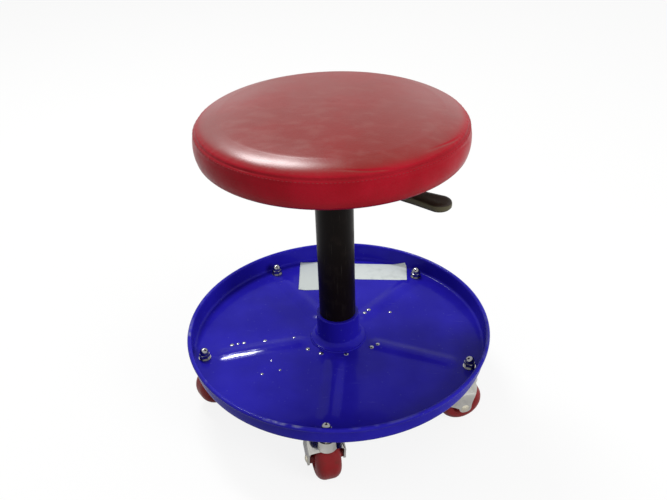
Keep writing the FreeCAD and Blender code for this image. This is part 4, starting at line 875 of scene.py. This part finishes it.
def make_label(name, middle, size, turn):
    """A blank label stuck down: its flat points follow the floor and, past the foot of the
    wall, the corner's arc and the wall, by the length that they run beyond it. Its corners
    lift by (u v)^6."""
    u = np.linspace(-1, 1, LABEL_ROWS)[:, None]
    v = np.linspace(-1, 1, LABEL_COLUMNS)[None, :]
    across, deep = u * size[0] / 2 + 0 * v, v * size[1] / 2 + 0 * u
    x = middle[0] + across * math.cos(turn) - deep * math.sin(turn)
    y = middle[1] + across * math.sin(turn) + deep * math.cos(turn)
    radius, angle = np.hypot(x, y), np.arctan2(y, x)
    corner = CORNER - SHEET
    beyond = np.maximum(radius - (WALL_RADIUS - corner), 0)
    bend = np.minimum(beyond / corner, math.pi / 2)
    up_wall = beyond - corner * bend
    off = LABEL_OFF + LABEL_LIFT * (u * v) ** 6
    radius = np.minimum(radius, WALL_RADIUS - corner) + (corner - off) * np.sin(bend)
    height = TRAY_FLOOR + corner - (corner - off) * np.cos(bend) + up_wall
    height = height + rib_height(radius, angle)
    points = np.stack([radius * np.cos(angle), radius * np.sin(angle), height], axis=-1)
    cells = quads(LABEL_ROWS, LABEL_COLUMNS)
    label = mesh_piece(name, points, cells, label_finish, "base", "blue_paint")
    wall = label.modifiers.new("film", "SOLIDIFY")
    wall.thickness = LABEL_FILM
    wall.offset = 0


# Release lever's grip.

GRIP_ROWS, GRIP_SIDES = 60, 48
GRIP_ROOT, GRIP_TIP = 92.0 * MM, 163.0 * MM
GRIP_HALF_ROOT, GRIP_HALF_TIP = 9.0 * MM, 15.0 * MM
GRIP_THICK_ROOT, GRIP_THICK_TIP = 13.0 * MM, 12.0 * MM
GRIP_MIDDLE = (grip_low.z + grip_high.z) / 2 - 1.2 * MM
GRIP_SQUARENESS = 3.4
ROOT_ROUND, BLADE_RUN = 4.0 * MM, 14.0 * MM
THUMB_DEEP, THUMB_BACK, THUMB_LONG, THUMB_WIDE = 0.9 * MM, 17 * MM, 13 * MM, 9 * MM
LEVER_WAY = math.radians(330.0)


def rounding(share):
    """A quarter of a circle: sqrt(1 - share^2)."""
    return np.sqrt(np.clip(1 - share ** 2, 0, 1))


def make_grip():
    """A flat moulded paddle: each section along it is a rounded oblong |y/w|^n + |z/t|^n = 1,
    whose half width w grows to the round tip and whose thickness t falls to a blade, with a
    shallow bell-shaped hollow for the thumb."""
    u = np.linspace(0, 1, GRIP_ROWS)[:, None]
    x = GRIP_ROOT + (GRIP_TIP - GRIP_ROOT) * (1 - (1 - u) ** 1.6)
    turn = np.linspace(0, TURN, GRIP_SIDES, endpoint=False)[None, :]
    tip_start = GRIP_TIP - GRIP_HALF_TIP
    straight = np.clip((x - GRIP_ROOT) / (tip_start - GRIP_ROOT), 0, 1)
    width = GRIP_HALF_ROOT + (GRIP_HALF_TIP - GRIP_HALF_ROOT) * straight
    round_tip = rounding(np.clip((x - tip_start) / GRIP_HALF_TIP, 0, 1))
    round_root = rounding(np.clip(1 - (x - GRIP_ROOT) / ROOT_ROUND, 0, 1)) * 0.35 + 0.65
    blade = np.clip((x - GRIP_ROOT - BLADE_RUN) / BLADE_RUN, 0, 1)
    blade = blade * blade * (3 - 2 * blade)
    thick = (GRIP_THICK_ROOT + (GRIP_THICK_TIP - GRIP_THICK_ROOT) * blade) / 2
    power = 2 / GRIP_SQUARENESS
    across, upward = np.cos(turn), np.sin(turn)
    y = np.sign(across) * abs(across) ** power * width * round_tip * round_root
    z = np.sign(upward) * abs(upward) ** power * thick * round_tip ** 0.55 * round_root
    hollow = bump(x - (GRIP_TIP - THUMB_BACK), THUMB_LONG) * bump(y, THUMB_WIDE)
    z = z - THUMB_DEEP * hollow * (z > 0)
    ahead, aside = math.cos(LEVER_WAY), math.sin(LEVER_WAY)
    points = np.stack([x * ahead - y * aside, x * aside + y * ahead, GRIP_MIDDLE + z], -1)
    closing = np.repeat(points[:1].mean(axis=1, keepdims=True), GRIP_SIDES, axis=1)
    points = np.concatenate([closing, points])
    cells = quads(*points.shape[:2], wrap_columns=True)
    moulding = finishes["grip_plastic"]
    grip = mesh_piece("grip_moulding", points, cells, moulding, "lever", "grip_plastic")
    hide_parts("lever_grip")


thread_finish = moulded("thread", (0.24, 0.010, 0.016), (0.30, 0.04, 0.04), 0.55, 0.0004)
label_finish = paper()
cushion_grid = make_cushion()
make_stitches(*cushion_grid)
make_staples()
make_tray()
make_weld()
make_spatter()
make_label("label_left", (-0.0435, 0.1505), (0.062, 0.080), math.radians(5.0))
make_label("label_right", (0.0550, 0.1650), (0.085, 0.045), math.radians(0.5))
make_grip()


# Floor, room, lamps and camera.

FLOOR_SIZE = 30.0
FLOOR_SEEN, FLOOR_BOUNCED = colour(0.80, 0.80, 0.79), colour(0.26, 0.26, 0.255)
FLOOR_WHITE, FLOOR_MIRRORED = 0.86, 0.20
ROOM_LIGHT, ROOM_SEEN = 0.27, 1.0

floor_corners = np.array([[[-1, -1, 0], [-1, 1, 0]], [[1, -1, 0], [1, 1, 0]]]) * FLOOR_SIZE / 2
floor_finish = Finish("floor")
seen = floor_finish.add("ShaderNodeLightPath", out="Is Camera Ray")
mirrored = floor_finish.add("ShaderNodeLightPath", out="Is Glossy Ray")
bounced = floor_finish.add("ShaderNodeLightPath", out="Is Diffuse Ray")
floor_tone = floor_finish.mix(bounced, FLOOR_SEEN, FLOOR_BOUNCED)
matt = floor_finish.add("ShaderNodeBsdfDiffuse", {"Color": floor_tone})
white = floor_finish.add("ShaderNodeEmission", {"Color": colour(1, 1, 1), "Strength": 1.0})
whiteness = seen * FLOOR_WHITE + mirrored * FLOOR_MIRRORED
blend = floor_finish.add("ShaderNodeMixShader", {0: whiteness, 1: matt, 2: white})
floor_output = floor_finish.tree.nodes.new("ShaderNodeOutputMaterial")
floor_finish.tree.links.new(blend.socket, floor_output.inputs["Surface"])
floor = mesh_piece("floor", floor_corners, quads(2, 2), floor_finish.material, None, None)

world = bpy.data.worlds.new("room")
bpy.context.scene.world = world
world.use_nodes = True
room = world.node_tree
room.nodes.clear()
background = room.nodes.new("ShaderNodeBackground")
paths = room.nodes.new("ShaderNodeLightPath")
shown = None
for ray in ("Is Camera Ray", "Is Glossy Ray", "Is Transmission Ray"):
    either = room.nodes.new("ShaderNodeMath")
    either.operation = "MAXIMUM"
    room.links.new(paths.outputs[ray], either.inputs[0])
    if shown:
        room.links.new(shown.outputs[0], either.inputs[1])
    shown = either
level = room.nodes.new("ShaderNodeMapRange")
room.links.new(shown.outputs[0], level.inputs["Value"])
level.inputs["To Min"].default_value = ROOM_LIGHT
level.inputs["To Max"].default_value = ROOM_SEEN
room.links.new(level.outputs[0], background.inputs["Strength"])
background.inputs["Color"].default_value = (1, 1, 1, 1)
room_output = room.nodes.new("ShaderNodeOutputWorld")
room.links.new(background.outputs[0], room_output.inputs["Surface"])


def placed(columns, place):
    """The matrix of an object whose three axes are the columns and whose origin is the place."""
    rows = [(*row, spot) for row, spot in zip(np.stack(columns, 1), place)]
    return Matrix(rows + [(0, 0, 0, 1)])


def softbox(name, place, aim, size, power, mirrored=True):
    """A rectangular lamp at a place, turned to face a point, which surfaces may mirror."""
    lamp = bpy.data.lights.new(name, "AREA")
    lamp.shape = "RECTANGLE"
    lamp.size, lamp.size_y = size
    lamp.energy = power
    box = bpy.data.objects.new(name, lamp)
    box.visible_glossy = mirrored
    bpy.context.scene.collection.objects.link(box)
    facing = np.array(aim, float) - np.array(place, float)
    back = -facing / np.linalg.norm(facing)
    across = np.cross([0.0, 1.0, 0.01], back)
    across = across / np.linalg.norm(across)
    box.matrix_world = placed([across, np.cross(back, across), back], place)


softbox("lamp_over", (-0.68, 0.92, 2.06), (0.0, 0.0, 0.3), (0.72, 0.29), 31.0)
softbox("lamp_right", (1.95, -1.35, 1.10), (0.0, 0.0, 0.25), (1.4, 1.1), 40.0, mirrored=False)

YAW, PITCH, ROLL = math.radians(-5.8), math.radians(32.0), math.radians(2.0)
CAMERA_PLACE = np.array([0.0808, -0.8236, 0.7414])
FOCAL_PIXELS, FRAME_WIDTH, SENSOR = 734.6, 667.0, 36.0
level_ahead = np.array([math.sin(YAW), math.cos(YAW), 0.0])
right = np.array([math.cos(YAW), -math.sin(YAW), 0.0])
ahead = level_ahead * math.cos(PITCH) - np.array([0.0, 0.0, math.sin(PITCH)])
upright = np.cross(right, ahead)
camera_x = math.cos(ROLL) * right - math.sin(ROLL) * upright
camera_y = math.sin(ROLL) * right + math.cos(ROLL) * upright
lens = bpy.data.cameras.new("camera")
lens.sensor_fit = "HORIZONTAL"
lens.sensor_width = SENSOR
lens.lens = FOCAL_PIXELS / FRAME_WIDTH * SENSOR
camera = bpy.data.objects.new("camera", lens)
bpy.context.scene.collection.objects.link(camera)
camera.matrix_world = placed([camera_x, camera_y, -ahead], CAMERA_PLACE)
bpy.context.scene.camera = camera
bpy.context.scene.view_settings.view_transform = "Standard"
